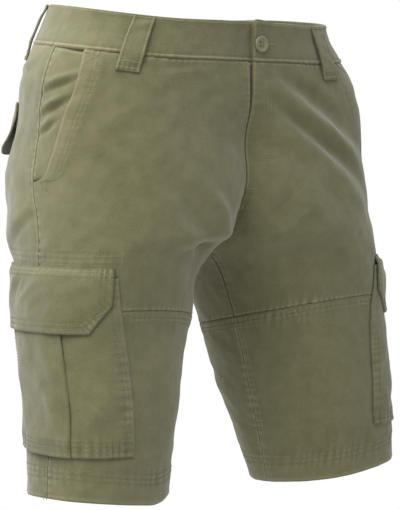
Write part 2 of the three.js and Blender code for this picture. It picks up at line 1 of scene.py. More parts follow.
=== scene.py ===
import bpy
import numpy as np
from math import pi, radians
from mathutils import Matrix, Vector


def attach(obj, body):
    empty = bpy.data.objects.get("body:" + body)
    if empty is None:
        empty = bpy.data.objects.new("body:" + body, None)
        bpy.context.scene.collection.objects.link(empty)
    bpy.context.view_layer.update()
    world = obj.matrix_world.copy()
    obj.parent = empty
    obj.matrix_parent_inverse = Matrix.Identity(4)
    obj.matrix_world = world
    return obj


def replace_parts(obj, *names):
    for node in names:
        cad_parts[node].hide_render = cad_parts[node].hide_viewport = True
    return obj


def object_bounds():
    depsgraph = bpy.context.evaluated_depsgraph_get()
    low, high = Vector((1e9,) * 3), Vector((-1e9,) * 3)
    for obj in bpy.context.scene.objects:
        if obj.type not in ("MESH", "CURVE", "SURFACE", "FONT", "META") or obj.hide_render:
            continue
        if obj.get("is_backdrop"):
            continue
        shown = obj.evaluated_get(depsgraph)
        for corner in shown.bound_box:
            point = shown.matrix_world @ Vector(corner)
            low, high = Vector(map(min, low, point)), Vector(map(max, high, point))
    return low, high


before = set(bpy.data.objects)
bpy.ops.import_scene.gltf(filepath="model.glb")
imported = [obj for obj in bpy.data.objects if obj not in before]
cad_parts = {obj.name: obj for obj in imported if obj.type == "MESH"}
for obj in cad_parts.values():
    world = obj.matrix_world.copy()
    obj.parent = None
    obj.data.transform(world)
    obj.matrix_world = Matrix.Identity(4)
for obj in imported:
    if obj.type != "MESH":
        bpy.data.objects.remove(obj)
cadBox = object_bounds()

# Cargo shorts, filled out as if worn. Shapes are worked out in millimetres on one surface, the
# outer face of the cloth: a place on it is a side (1 for the wearer's left), a height z and an
# arc, the distance from the side seam along the cloth, positive towards the front.

mm = 0.001
shortsBody = "root"

# Camera, at the photo's place

view = {
    "place": (-1.2723, -1.5264, -0.1403),
    "azimuth": 40.19,       # degrees from +Y towards +X
    "down": 3.15,
    "lens": 131.8,          # mm, for a 36 mm sensor on the long side
}


def makeCamera():
    data = bpy.data.cameras.new("camera")
    data.lens = view["lens"]
    data.sensor_width = 36
    data.sensor_fit = "AUTO"
    data.clip_end = 50
    camera = bpy.data.objects.new("camera", data)
    camera.location = view["place"]
    camera.rotation_euler = (radians(90 - view["down"]), 0, -radians(view["azimuth"]))
    bpy.context.scene.collection.objects.link(camera)
    bpy.context.scene.camera = camera
    print("camera ready")


makeCamera()

# Surface of one leg. The radii run from the leg's centre to the middle of the body, the side, the
# front and the back; shear leans the section.

legSections = {
    "z": np.array([45, -10, -60, -115, -170, -200, -234, -260, -300, -400, -515.0]),
    "centerX": np.array([0, 0, 26.5, 58, 79.5, 89.8, 101.2, 109.8, 121.5, 136, 157.5]),
    "centerY": np.array([-21.5, -5.5, -17.5, -11.5, -9, -15.7, -22.4, -24.3, -26, -31.5, -43]),
    "inner": np.array([155, 163, 162.5, 112, 117, 105, 101.2, 89, 84, 73.5, 75]),
    "outer": np.array([157.5, 165.5, 169, 143, 126.5, 117.5, 108.5, 103, 96, 83, 73.5]),
    "front": np.array([109.5, 99.5, 87, 97.5, 109.5, 108.2, 102.6, 96, 86.5, 87, 69]),
    "back": np.array([103, 122, 137.5, 144.5, 136, 127.3, 118.5, 113.8, 107, 84.5, 56]),
    "shear": np.array([0, 0, 0.02, 0.12, 0.03, 0, 0.02, 0.07, 0.14, 0.17, 0.16]),
}
squareness = 2.25

seams = {
    "gap": 0.02,        # the solids keep 0.3; closed here, or light shows through
    "waistFront": -8.2,
    "waistBack": 9.8,
    "waistRise": (0.16, 0.66),      # shares of the way from the front's middle to the back's
    "waistTilt": (1.25, 0.68, 1),   # right side of the back above the left
    "bandHeight": 40,
    "hipHeight": -170,
    "crotchHeight": -234,
    "thighHeight": -311.7,
    "thighSlope": (0.057, -0.18),   # rise outwards and backwards
    "hemHeight": -486.6,
    "hemSlope": (0.132, -0.036),
    "hemRise": (140, 195, 9),       # right leg, towards the inseam
    "sideSwing": (-215, -400, 23),  # from, to, arc
    "leftTurn": (-110, -275, 36, 6),
    "flyTop": -48,
    "flyBottom": -118,
    "flyWidth": 5.2,
}
mouth = {
    "z": np.array([-170, -166, -160, -138, -109, -85, -65, -40.0]),
    "arc": np.array([0, 15, 22, 30, 35, 39.5, 41, 39.0]),
}


def smoothstep(x, low, high):
    t = np.clip((x - low) / (high - low), 0, 1)
    return t * t * (3 - 2 * t)


def mix(a, b, t):
    return a + (b - a) * t


# Cubic Hermite curve down each column of the table, its slopes from the rows beside
def sectionAt(z):
    depth = -legSections["z"]
    q = np.clip(-np.asarray(z, float), depth[0], depth[-1])
    i = np.clip(np.searchsorted(depth, q, side="right") - 1, 0, len(depth) - 2)
    span = depth[i + 1] - depth[i]
    t = (q - depth[i]) / span
    section = {}
    for key, value in legSections.items():
        slope = np.gradient(value, depth)
        start = value[i] * (1 + 2 * t) * (1 - t) ** 2 + value[i + 1] * (3 - 2 * t) * t ** 2
        section[key] = start + span * (slope[i] * t * (1 - t) ** 2 - slope[i + 1] * (1 - t) * t ** 2)
    return section


# Superellipse round the leg: angle 0 is the inseam, then a quarter turn each to front, side, back
def legPoint(z, angle):
    section = sectionAt(z)
    across = np.cos(angle)
    along = np.sin(angle)
    roundAcross = np.sign(across) * np.abs(across) ** (2 / squareness)
    roundAlong = np.sign(along) * np.abs(along) ** (2 / squareness)
    y = -roundAlong * np.where(along > 0, section["front"], section["back"])
    x = section["centerX"] - roundAcross * np.where(across > 0, section["inner"], section["outer"])
    return x - section["shear"] * y, section["centerY"] + y


# Arc lengths measured on rings 1 mm apart, and turned round into angles at even arcs
def measureRings():
    levels = np.arange(-535.0, 41.0, 1.0)
    angles = np.linspace(0, 2 * pi, 721)
    x, y = legPoint(levels[:, None], angles[None, :])
    steps = np.hypot(np.diff(x, axis=1), np.diff(y, axis=1))
    lengths = np.concatenate([np.zeros((len(levels), 1)), np.cumsum(steps, axis=1)], axis=1)
    arcs = lengths[:, 360:361] - lengths
    shares = np.linspace(-1, 1, 1201)
    table = np.zeros((len(levels), len(shares)))
    limits = np.zeros((2, len(levels)))
    for i in range(len(levels)):
        wanted = np.where(shares > 0, shares * arcs[i, 0], -shares * arcs[i, -1])
        table[i] = np.interp(wanted, arcs[i, ::-1], angles[::-1])
        for half, order in enumerate((slice(360, None, -1), slice(360, None, 1))):
            sideX = x[i, order]
            sideArc = arcs[i, order]
            crossing = np.flatnonzero(sideX < 0)
            if len(crossing):
                k = crossing[0]
                share = sideX[k - 1] / (sideX[k - 1] - sideX[k])
                limits[half, i] = mix(sideArc[k - 1], sideArc[k], share)
            else:
                limits[half, i] = sideArc[-1]
    return {
        "levels": levels,
        "table": table,
        "frontLength": arcs[:, 0],
        "backLength": -arcs[:, -1],
        "front": limits[0],
        "back": limits[1],
    }


rings = measureRings()


def ringValue(key, z):
    return np.interp(z, rings["levels"], rings[key])


def angleAt(z, arc):
    half = np.where(arc > 0, ringValue("frontLength", z), ringValue("backLength", z))
    column = (np.clip(arc / half, -1, 1) + 1) / 2 * (rings["table"].shape[1] - 1)
    row = np.clip(z - rings["levels"][0], 0, len(rings["levels"]) - 1.001)
    r = row.astype(int)
    c = np.clip(column.astype(int), 0, rings["table"].shape[1] - 2)
    u = row - r
    v = column - c
    table = rings["table"]
    low = mix(table[r, c], table[r, c + 1], v)
    high = mix(table[r + 1, c], table[r + 1, c + 1], v)
    return mix(low, high, u)


# Seam heights and arcs

def waistTopAt(side, share):
    start, end = seams["waistRise"]
    tilt, tiltStart, tiltEnd = seams["waistTilt"]
    back = seams["waistBack"] - side * tilt * (1 - smoothstep(share, tiltStart, tiltEnd))
    return mix(seams["waistFront"], back, smoothstep(share, start, end))


def bandBottomAt(side, z, arc):
    front, back = ringValue("front", z), ringValue("back", z)
    return waistTopAt(side, (front - arc) / (front - back)) - seams["bandHeight"]


def slopedHeight(name, side, z, arc):
    section = sectionAt(z)
    x, y = legPoint(z, angleAt(z, arc))
    outwards, backwards = seams[name + "Slope"]
    away = outwards * (x - section["centerX"]) + backwards * (y - section["centerY"])
    if name == "hem" and side < 0:
        start, end, rise = seams["hemRise"]
        away = away + rise * smoothstep(np.abs(arc), start, end)
    return seams[name + "Height"] + away


def sideSeamArc(side, z):
    start, end, arc = seams["sideSwing"]
    swing = arc * smoothstep(-z, -start, -end)
    if side < 0:
        return swing
    start, end, turned, rest = seams["leftTurn"]
    return swing + mix(turned, rest, smoothstep(-z, -start, -end)) * smoothstep(z, -470, -400)


def mouthArc(z):
    return np.interp(z, mouth["z"], mouth["arc"])


def riseArc(side, z):
    opening = 0
    if side < 0:
        opening = seams["flyWidth"] * smoothstep(z, seams["flyBottom"], seams["flyTop"])
    return ringValue("front", z) - seams["gap"] / 2 - opening


# Folds, from the photo: length and width are half measures in mm along and across, tilt
# is degrees from level, rising to the front, and a negative lift is a trough.

foldColumns = ("side", "z", "arc", "length", "width", "lift", "tilt")
foldGain = {"large": 1.5, "fine": 1.4, "pocket": 1.4, "flap": 1.6}
largeFolds = [
    (1, -112, 165, 75, 15, 5, 38),
    (1, -86, 160, 62, 14, -4, 36),
    (1, -150, 176, 70, 16, 4.5, 40),
    (1, -131, 170, 66, 11, -4, 39),
    (1, -196, 196, 62, 17, 3, 38),
    (-1, -196, 214, 44, 10, 3, -48),
    (-1, -213, 190, 44, 11, -3, -46),
    (-1, -232, -96, 70, 16, 3.5, 24),
    (-1, -198, -190, 70, 18, 4, 38),
    (1, -232, -96, 70, 16, 3.5, 24),
    (1, -206, -180, 70, 18, 4, 36),
]
fineFolds = [
    (-1, -67, 23, 20, 3.6, 2.1, 20),
    (-1, -75, 22, 19, 3.2, -2.3, 20),
    (-1, -90, 19, 17, 3.4, 1.9, 24),
    (-1, -97, 20, 17, 3.2, -2.2, 24),
    (-1, -111, 13, 15, 3.4, 1.4, 28),
    (-1, -118, 13, 14, 3.2, -1.5, 28),
    (-1, -52, -52, 22, 4, 1.2, 6),
    (-1, -59, -50, 24, 3.6, -1.4, 6),
    (1, -85, 70, 40, 30, 3, 0),
    (-1, -60, 150, 26, 3.2, 0.7, 4),
    (-1, -56, 150, 30, 3, -0.8, 4),
    (-1, -225, 176, 30, 5, 1.1, -40),
    (-1, -176, 238, 24, 4, 0.9, -56),
    (-1, -185, 245, 24, 4, -1, -56),
    (1, -178, 244, 26, 4, 1, -50),
    (1, -190, 232, 30, 5, -1.1, -48),
    (1, -214, 226, 34, 5, 1.2, -40),
    (1, -236, 170, 60, 9, 1.2, 26),
    (1, -250, 210, 50, 8, -0.9, 20),
    (1, -350, 180, 50, 10, 1, 12),
    (1, -420, 190, 60, 9, 0.9, -14),
    (-1, -350, 150, 50, 11, 0.9, -10),
    (-1, -440, 120, 60, 6, 1, 5),
    (-1, -428, 140, 50, 6, -0.8, 6),
    (-1, -140, -60, 60, 12, 1.2, 64),
    (-1, -206, -34, 26, 5, 1.1, 28),
    (-1, -216, -30, 24, 4.5, -1.1, 28),
    (1, -140, -60, 60, 12, 1.2, 64),
    (-1, -266, -230, 46, 8, 2, -24),
    (1, -262, -226, 46, 8, 2, -26),
    (-1, -380, -190, 50, 11, 1.6, 22),
    (1, -390, -180, 50, 11, 1.6, 20),
]


# Each fold fades as a bell curve along and across its line
def ridges(folds, side, z, arc):
    lift = np.zeros(np.broadcast(z, arc).shape)
    for row in folds:
        fold = dict(zip(foldColumns, row))
        if fold["side"] == side:
            tilt = radians(fold["tilt"])
            along = np.cos(tilt) * (arc - fold["arc"]) + np.sin(tilt) * (z - fold["z"])
            across = np.cos(tilt) * (z - fold["z"]) - np.sin(tilt) * (arc - fold["arc"])
            lift += fold["lift"] * np.exp(-((along / fold["length"]) ** 2) - (across / fold["width"]) ** 2)
    return lift


# Soft unevenness: a sum of plane waves in random directions, with phases from a fixed seed
def ripple(u, v, wavelength, seed, waves=9):
    rng = np.random.default_rng(seed)
    total = np.zeros(np.broadcast(u, v).shape)
    for _ in range(waves):
        turn = rng.uniform(0, 2 * pi)
        number = 2 * pi / (wavelength * rng.uniform(0.7, 1.5))
        total += np.sin(number * (u * np.cos(turn) + v * np.sin(turn)) + rng.uniform(0, 2 * pi))
    return total / np.sqrt(waves)


# Hollow where each thigh draws in under the crotch: steep above, slow below
thighHollow = {"z": (-222, -242, -310), "arc": 214, "width": 56, "right": -20, "left": -6}


def hollowLift(side, z, arc):
    top, deep, low = thighHollow["z"]
    down = smoothstep(-z, -top, -deep) * (1 - smoothstep(-z, -deep, -low))
    depth = thighHollow["left"] if side > 0 else thighHollow["right"]
    return depth * down * np.exp(-(((arc - thighHollow["arc"]) / thighHollow["width"]) ** 2))


def foldLift(side, z, arc):
    fromMiddle = np.minimum(ringValue("front", z) - arc, arc - ringValue("back", z))
    fromWaist = seams["waistFront"] - seams["bandHeight"] - z
    fade = smoothstep(fromMiddle, 4, 30) * smoothstep(fromWaist, 0, 30)
    large = (foldGain["large"] * ridges(largeFolds, side, z, arc) + hollowLift(side, z, arc)) * fade
    fine = foldGain["fine"] * ridges(fineFolds, side, z, arc) * smoothstep(fromMiddle, 1, 12)
    uneven = 0.65 * ripple(arc, z, 62, 11 + side) + 0.28 * ripple(arc, z, 24, 23 + side)
    uneven += 0.07 * ripple(arc, z, 11, 37 + side)
    return large + fine + uneven * smoothstep(fromMiddle, 0, 20) * smoothstep(fromWaist, -20, 20)


# Place on the cloth: the leg's surface, moved out along its normal by lift
def clothPoint(side, z, arc, lift):
    z, arc, lift = np.broadcast_arrays(np.asarray(z, float), np.asarray(arc, float), lift)
    angle = angleAt(z, arc)
    x, y = legPoint(z, angle)
    aheadX, aheadY = legPoint(z, angle + 0.02)
    behindX, behindY = legPoint(z, angle - 0.02)
    aboveX, aboveY = legPoint(z + 1, angle)
    belowX, belowY = legPoint(z - 1, angle)
    across = np.stack([aheadX - behindX, aheadY - behindY, np.zeros_like(x)], -1)
    upward = np.stack([aboveX - belowX, aboveY - belowY, np.full_like(x, 2)], -1)
    normal = np.cross(across, upward)
    normal /= np.linalg.norm(normal, axis=-1, keepdims=True)
    points = np.stack([x, y, z], -1) + normal * (lift + foldLift(side, z, arc))[..., None]
    points[..., 0] *= side
    return points


def panelPoint(side, z, arc, lift):
    points = clothPoint(side, z, arc, lift)
    points[..., 0] = side * np.maximum(side * points[..., 0], seams["gap"] / 2)
    return points


# Round the waist: turn 0 is the middle of the front, 1 the middle of the back, 2 the front again
def girthPoint(turn, z, lift):
    turn, z, lift = np.broadcast_arrays(np.asarray(turn, float), np.asarray(z, float), lift)
    share = np.where(turn <= 1, np.abs(turn), np.abs(2 - turn))
    onRight = ((turn >= 0) & (turn <= 1)) | (turn > 2)
    arc = mix(ringValue("front", z), ringValue("back", z), share)
    points = np.where(
        onRight[..., None], clothPoint(-1, z, arc, lift), clothPoint(1, z, arc, lift)
    )
    middle = (share < 1e-6) | (share > 1 - 1e-6)
    points[..., 0] = np.where(middle, 0, points[..., 0])
    return points


halfGirth = float(ringValue("front", -30) - ringValue("back", -30))


def girthTop(turn):
    turn = np.asarray(turn, float)
    share = np.where(turn <= 1, np.abs(turn), np.abs(2 - turn))
    onRight = ((turn >= 0) & (turn <= 1)) | (turn > 2)
    return np.where(onRight, waistTopAt(-1, share), waistTopAt(1, share))


# Sewing marks

# Seam rolled in at an edge: the cloth dips as a bell curve of the distance to it, and a second
# bell curve beside it is the swell of the turned edge
def roll(away, depth=0.7, width=1, swell=0.3):
    beside = (away - 2.2 * width) / (1.1 * width)
    return swell * np.exp(-(beside ** 2)) - depth * np.exp(-((away / width) ** 2))


# Puckers across a seam: uneven waves along it, their troughs narrower than their crests, that
# fade with the distance from it
def pucker(away, along, size=0.3, length=7, reach=6, seed=0.0):
    phase = along / length + 0.4 * np.sin(along / 17 + seed) + 0.25 * np.sin(along / 7.3 + 2 * seed)
    size = size * (1.1 + 0.6 * np.sin(along / 23 + 3 * seed))
    wave = np.sin(2 * pi * phase)
    return size * (wave - 0.3 * wave ** 2) * np.exp(-((away / reach) ** 2))


# Groove pressed by rows of stitches at these distances from a seam
def grooves(away, rows, depth=0.35, width=0.9):
    total = np.zeros_like(away)
    for row in rows:
        total -= depth * np.exp(-(((away - row) / width) ** 2))
    return total


# Materials

def linear(code):
    srgb = np.array([int(code[i:i + 2], 16) for i in (1, 3, 5)]) / 255
    value = np.where(srgb <= 0.04045, srgb / 12.92, ((srgb + 0.055) / 1.055) ** 2.4)
    return (*value.tolist(), 1)


def addNode(tree, kind, settings=None, links=None):
    node = tree.nodes.new(kind)
    for name, value in (settings or {}).items():
        if hasattr(node, name) and not name[0].isupper():
            setattr(node, name, value)
        else:
            node.inputs[name].default_value = value
    for name, source in (links or {}).items():
        tree.links.new(source, node.inputs[name])
    return node


def newMaterial(name):
    material = bpy.data.materials.new(name)
    material.use_nodes = True
    tree = material.node_tree
    return material, tree, tree.nodes["Principled BSDF"]


twill = {
    "light": "#6F6951",     # rubbed ridges and seam edges
    "base": "#525137",
    "dark": "#2C291A",      # painted shade in the grooves and low places, and the darkest of the random mottle
    "ribPitch": 1.7,        # mm between twill lines; real cloth has 0.6, drawn coarser to show
    "ribHeight": 0.14,      # mm
    "yarn": 1.1,            # mm across a slub, drawn coarser to show
    "roughness": 0.9,
    "sheen": 0.2,
}


# Cotton twill, piece dyed and garment washed: matt, with diagonal ribs, paler where it was rubbed, and
# darker in grooves and low places as painted shade
def makeTwill(name, settings):
    material, tree, shader = newMaterial(name)
    cloth = addNode(tree, "ShaderNodeUVMap", {"uv_map": "cloth"}).outputs["UV"]
    place = addNode(tree, "ShaderNodeTexCoord").outputs["Object"]
    # attribute of wear and painted shade: paler where rubbed, painted shade in grooves and low places
    level = addNode(tree, "ShaderNodeAttribute", {"attribute_name": "wearAndShade"}).outputs["Fac"]
    fading = addNode(
        tree, "ShaderNodeTexNoise", {"Scale": 9, "Detail": 3, "Roughness": 0.6}, {"Vector": place}
    )
    mottle = addNode(
        tree, "ShaderNodeTexNoise", {"Scale": 70, "Detail": 3, "Roughness": 0.65}, {"Vector": place}
    )
    yarns = addNode(
        tree, "ShaderNodeTexNoise",
        {"Scale": 1 / (settings["yarn"] * mm), "Detail": 2, "Roughness": 0.7}, {"Vector": cloth},
    )
    slant = addNode(tree, "ShaderNodeMapping", {"Rotation": (0, 0, radians(52))}, {"Vector": cloth})
    ribs = addNode(
        tree, "ShaderNodeTexWave",
        {"Scale": 2 * pi / (20 * settings["ribPitch"] * mm), "Distortion": 1.2, "Detail": 1},
        {"Vector": slant.outputs["Vector"]},
    )
    patterns = ((fading, 0.3), (mottle, 0.35), (yarns, 0.8), (ribs, 0.14))
    for pattern, strength in patterns:
        added = addNode(
            tree, "ShaderNodeMath", {"operation": "MULTIPLY_ADD"}, {"Value": pattern.outputs["Fac"]}
        )
        added.inputs[1].default_value = strength
        tree.links.new(level, added.inputs[2])
        level = added.outputs[0]
    centered = addNode(tree, "ShaderNodeMath", {"operation": "SUBTRACT"}, {"Value": level})
    centered.inputs[1].default_value = 0.5 * sum(strength for _, strength in patterns)
    ramp = addNode(tree, "ShaderNodeValToRGB", None, {"Fac": centered.outputs[0]})
    ramp.color_ramp.elements[0].color = linear(settings["dark"])
    ramp.color_ramp.elements[1].color = linear(settings["light"])
    ramp.color_ramp.elements.new(0.5).color = linear(settings["base"])
    tree.links.new(ramp.outputs["Color"], shader.inputs["Base Color"])
    rumple = addNode(
        tree, "ShaderNodeBump", {"Strength": 0.6, "Distance": 1.4 * mm}, {"Height": mottle.outputs["Fac"]}
    )
    ribbed = addNode(
        tree, "ShaderNodeBump", {"Strength": 0.5, "Distance": settings["ribHeight"] * mm},
        {"Height": ribs.outputs["Fac"], "Normal": rumple.outputs["Normal"]},
    )
    nap = addNode(
        tree, "ShaderNodeBump", {"Strength": 0.5, "Distance": 0.3 * mm},
        {"Height": yarns.outputs["Fac"], "Normal": ribbed.outputs["Normal"]},
    )
    tree.links.new(nap.outputs["Normal"], shader.inputs["Normal"])
    shader.inputs["Roughness"].default_value = settings["roughness"]
    shader.inputs["Sheen Weight"].default_value = settings["sheen"]
    shader.inputs["Sheen Roughness"].default_value = 0.5
    shader.inputs["Specular IOR Level"].default_value = 0.2
    return material


twillCloth = makeTwill("cotton-twill-washed", twill)


# Spun polyester sewing thread, dyed with the cloth
def makeThread():
    material, tree, shader = newMaterial("polyester-sewing-thread")
    place = addNode(tree, "ShaderNodeTexCoord")
    noise = addNode(
        tree, "ShaderNodeTexNoise", {"Scale": 60, "Detail": 2}, {"Vector": place.outputs["Object"]}
    )
    ramp = addNode(tree, "ShaderNodeValToRGB", None, {"Fac": noise.outputs["Fac"]})
    ramp.color_ramp.elements[0].color = linear("#56533C")
    ramp.color_ramp.elements[1].color = linear("#726D53")
    tree.links.new(ramp.outputs["Color"], shader.inputs["Base Color"])
    shader.inputs["Roughness"].default_value = 0.7
    return material


thread = makeThread()


# Woven polyester zip tape, a flat brown with a fine herringbone
def makeTape():
    material, tree, shader = newMaterial("woven-zip-tape")
    cloth = addNode(tree, "ShaderNodeUVMap", {"uv_map": "cloth"})
    weave = addNode(
        tree, "ShaderNodeTexWave", {"Scale": 60, "Distortion": 1}, {"Vector": cloth.outputs["UV"]}
    )
    ramp = addNode(tree, "ShaderNodeValToRGB", None, {"Fac": weave.outputs["Fac"]})
    ramp.color_ramp.elements[0].color = linear("#5B4A45")
    ramp.color_ramp.elements[1].color = linear("#7B6862")
    tree.links.new(ramp.outputs["Color"], shader.inputs["Base Color"])
    shader.inputs["Roughness"].default_value = 0.8
    return material


tapeCloth = makeTape()


# Moulded polyester button, satin, faintly mottled through its thickness
def makeButtonPlastic():
    material, tree, shader = newMaterial("moulded-polyester-button")
    place = addNode(tree, "ShaderNodeTexCoord")
    mottle = addNode(
        tree, "ShaderNodeTexNoise", {"Scale": 260, "Detail": 3, "Distortion": 1.2},
        {"Vector": place.outputs["Object"]},
    )
    ramp = addNode(tree, "ShaderNodeValToRGB", None, {"Fac": mottle.outputs["Fac"]})
    ramp.color_ramp.elements[0].color = linear("#4C4A35")
    ramp.color_ramp.elements[1].color = linear("#67644A")
    tree.links.new(ramp.outputs["Color"], shader.inputs["Base Color"])
    shader.inputs["Roughness"].default_value = 0.42
    shader.inputs["IOR"].default_value = 1.53
    return material


buttonPlastic = makeButtonPlastic()
print("materials ready")

# Meshes

# Object from points in millimetres and faces as lists of point numbers
def meshObject(name, points, faces, material, smooth=None):
    mesh = bpy.data.meshes.new(name)
    mesh.from_pydata(points * mm, [], faces)
    mesh.polygons.foreach_set("use_smooth", np.ones(len(faces), bool) if smooth is None else smooth)
    mesh.materials.append(material)
    mesh.update()
    piece = bpy.data.objects.new(name, mesh)
    bpy.context.scene.collection.objects.link(piece)
    return piece


def ridePiece(piece):
    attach(piece, shortsBody)
    return piece


def gridFaces(rows, columns):
    index = np.arange(rows * columns).reshape(rows, columns)
    return np.stack([index[:-1, :-1], index[:-1, 1:], index[1:, 1:], index[1:, :-1]], -1).reshape(-1, 4)


# The same where each row closes on itself
def ringFaces(rows, columns):
    index = np.arange(rows * columns).reshape(rows, columns)
    ahead = np.roll(index, -1, axis=1)
    return np.stack([index[:-1], index[1:], ahead[1:], ahead[:-1]], -1).reshape(-1, 4)


# Six times the volume inside quads, whose sign says which way they face
def volumeOf(points, faces):
    a, b, c, d = (points[faces[:, k]] for k in range(4))
    first = np.einsum("ij,ij->i", a, np.cross(b, c)).sum()
    return first + np.einsum("ij,ij->i", a, np.cross(c, d)).sum()


clothInside = 0.45      # level of the wear and painted-shade attribute on the inner face


# Cloth with two faces from two grids of points and a rim round them, turned to face outwards
def clothPiece(name, outer, inner, uv, wornAndShaded, material=None):
    rows, columns = outer.shape[:2]
    sheet = rows * columns
    faces = gridFaces(rows, columns)
    index = np.arange(sheet).reshape(rows, columns)
    border = np.concatenate([index[0, :-1], index[:-1, -1], index[-1, :0:-1], index[:0:-1, 0]])
    after = np.roll(border, -1)
    rim = np.stack([after, border, border + sheet, after + sheet], -1)
    every = np.concatenate([faces, faces[:, ::-1] + sheet, rim])
    smooth = np.concatenate([np.ones(2 * len(faces), bool), np.zeros(len(rim), bool)])
    points = np.concatenate([outer.reshape(-1, 3), inner.reshape(-1, 3)])
    if volumeOf(points, every) < 0:
        every = every[:, ::-1]
    piece = meshObject(name, points, every.tolist(), material or twillCloth, smooth)
    doubledUv = np.concatenate([uv.reshape(-1, 2)] * 2)
    doubledWearAndShade = np.concatenate([wornAndShaded.ravel(), np.full(sheet, clothInside)])
    layer = piece.data.uv_layers.new(name="cloth")
    layer.data.foreach_set("uv", (doubledUv[every.ravel()] * mm).ravel())
    # per-point wear and painted shade: paler where rubbed, painted shade in grooves and low places
    values = piece.data.attributes.new("wearAndShade", "FLOAT", "POINT")
    values.data.foreach_set("value", doubledWearAndShade.astype(np.float32))
    return ridePiece(piece)


# Flat size of a grid of cloth: its widest row, its longest column, and the sum of its squares
def flatSize(grid):
    width = np.linalg.norm(np.diff(grid, axis=1), axis=-1).sum(1).max()
    length = np.linalg.norm(np.diff(grid, axis=0), axis=-1).sum(0).max()
    diagonalA = grid[1:, 1:] - grid[:-1, :-1]
    diagonalB = grid[1:, :-1] - grid[:-1, 1:]
    area = 0.5 * np.linalg.norm(np.cross(diagonalA, diagonalB), axis=-1).sum()
    return width * mm, length * mm, area * mm * mm


sheets = {}


def declareSheet(piece, grid):
    width, length, area = flatSize(grid)
    area = min(area, width * length)
    sheets[piece.name] = (round(width, 3), round(length, 3), round(area, 4))


# Wear and painted shade follow the sewing: proud places are rubbed paler, low places and grooves get
# painted shade, darker than flat cloth, and all that is sewn is a little paler than flat cloth
wearAndShade = {"sewn": 0.12, "reach": 0.25, "proud": 0.38, "slope": 1.3, "least": 0.15, "most": 0.96}


def wearAndShadeFrom(relief):
    sewn = wearAndShade["sewn"] * (1 - np.exp(-((relief / wearAndShade["reach"]) ** 2)))
    # rubbed wear where the cloth stands proud, painted shade where it lies low
    rubbedAndShaded = wearAndShade["proud"] * np.tanh(wearAndShade["slope"] * relief)
    return np.clip(0.5 + sewn + rubbedAndShaded, wearAndShade["least"], wearAndShade["most"])


# Stitches: each is a spindle of four sides along its row, its ends sunk into the cloth

stitch = {"pitch": 3.1, "length": 2.5, "radius": 0.32, "sink": 0.22}


def stitchMesh(name, rows, material=None):
    pitch = stitch["pitch"]
    starts, ends, ups = [], [], []
    for path, normal in rows:
        lengths = np.concatenate([[0], np.cumsum(np.linalg.norm(np.diff(path, axis=0), axis=1))])
        count = max(1, int(lengths[-1] / pitch))
        begin = (np.arange(count) + 0.12) * lengths[-1] / count
        finish = begin + lengths[-1] / count * stitch["length"] / stitch["pitch"]
        sample = lambda values, at: np.stack([np.interp(at, lengths, values[:, k]) for k in range(3)], -1)
        starts.append(sample(path, begin))
        ends.append(sample(path, finish))
        ups.append(sample(normal, 0.5 * (begin + finish)))
    start = np.concatenate(starts)
    end = np.concatenate(ends)
    up = np.concatenate(ups)
    up /= np.linalg.norm(up, axis=1, keepdims=True)
    ahead = end - start
    across = np.cross(ahead, up)
    across /= np.linalg.norm(across, axis=1, keepdims=True) + 1e-9
    r = stitch["radius"]
    rings = [start - up * stitch["sink"]]
    for share in (0.25, 0.75):
        center = start + share * ahead + up * 0.12
        rings += [center + up * r, center + across * r, center - up * r, center - across * r]
    rings.append(end - up * stitch["sink"])
    points = np.stack(rings, 1).reshape(-1, 3)
    base = np.arange(len(start))[:, None] * 10
    quads = []
    for k in range(4):
        n = (k + 1) % 4
        quads.append([1 + k, 1 + n, 5 + n, 5 + k])
    tris = []
    for k in range(4):
        n = (k + 1) % 4
        tris += [[0, 1 + n, 1 + k], [9, 5 + k, 5 + n]]
    faces = [(base + np.array(face)).tolist() for face in quads + tris]
    every = [face for group in faces for face in group]
    return ridePiece(meshObject(name, points, every, material or thread))


# Row of stitches over a surface: its points and the way out of the cloth there
def rowOn(pointAt, lift, *place):
    path = pointAt(*place, lift)
    return path, pointAt(*place, lift + 1) - path


# The same along a line on a finished sheet, given by fractional rows and columns of its grids
def lineOn(outer, inner, row, column):
    row, column = np.broadcast_arrays(np.asarray(row, float), np.asarray(column, float))
    r = np.clip(row.astype(int), 0, outer.shape[0] - 2)
    c = np.clip(column.astype(int), 0, outer.shape[1] - 2)
    u = (row - r)[:, None]
    v = (column - c)[:, None]

    def sample(grid):
        return mix(mix(grid[r, c], grid[r, c + 1], v), mix(grid[r + 1, c], grid[r + 1, c + 1], v), u)

    path = sample(outer)
    return path, path - sample(inner)


# Bartack: close stitches across a line from start to end, each a place (z, arc)
def barOn(sew, start, end, half=1.1, step=0.6):
    start = np.array(start, float)
    ahead = np.array(end, float) - start
    length = np.hypot(*ahead)
    ahead /= length
    sideways = np.array([-ahead[1], ahead[0]])
    rows = []
    for k in np.arange(0, length, step):
        places = start + ahead * k + sideways * np.array([-half, 0, half])[:, None]
        rows.append(sew(places[:, 0], places[:, 1]))
    return rows


# Sewn piece of twill in place of its CAD node, with its rows of stitches
def sewnPiece(name, outer, inner, uv, sewing, rows=()):
    # colour attribute from the sewing's relief: rubbed wear on its ridges, painted shade in its grooves
    piece = clothPiece(f"twill_{name}", outer, inner, uv, wearAndShadeFrom(sewing))
    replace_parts(piece, name)
    sewn = [stitchMesh(f"stitches_{name}", rows)] if len(rows) else []
    declareSheet(piece, outer)


# Panels. Columns and rows are close together where there is sewing and wider between.

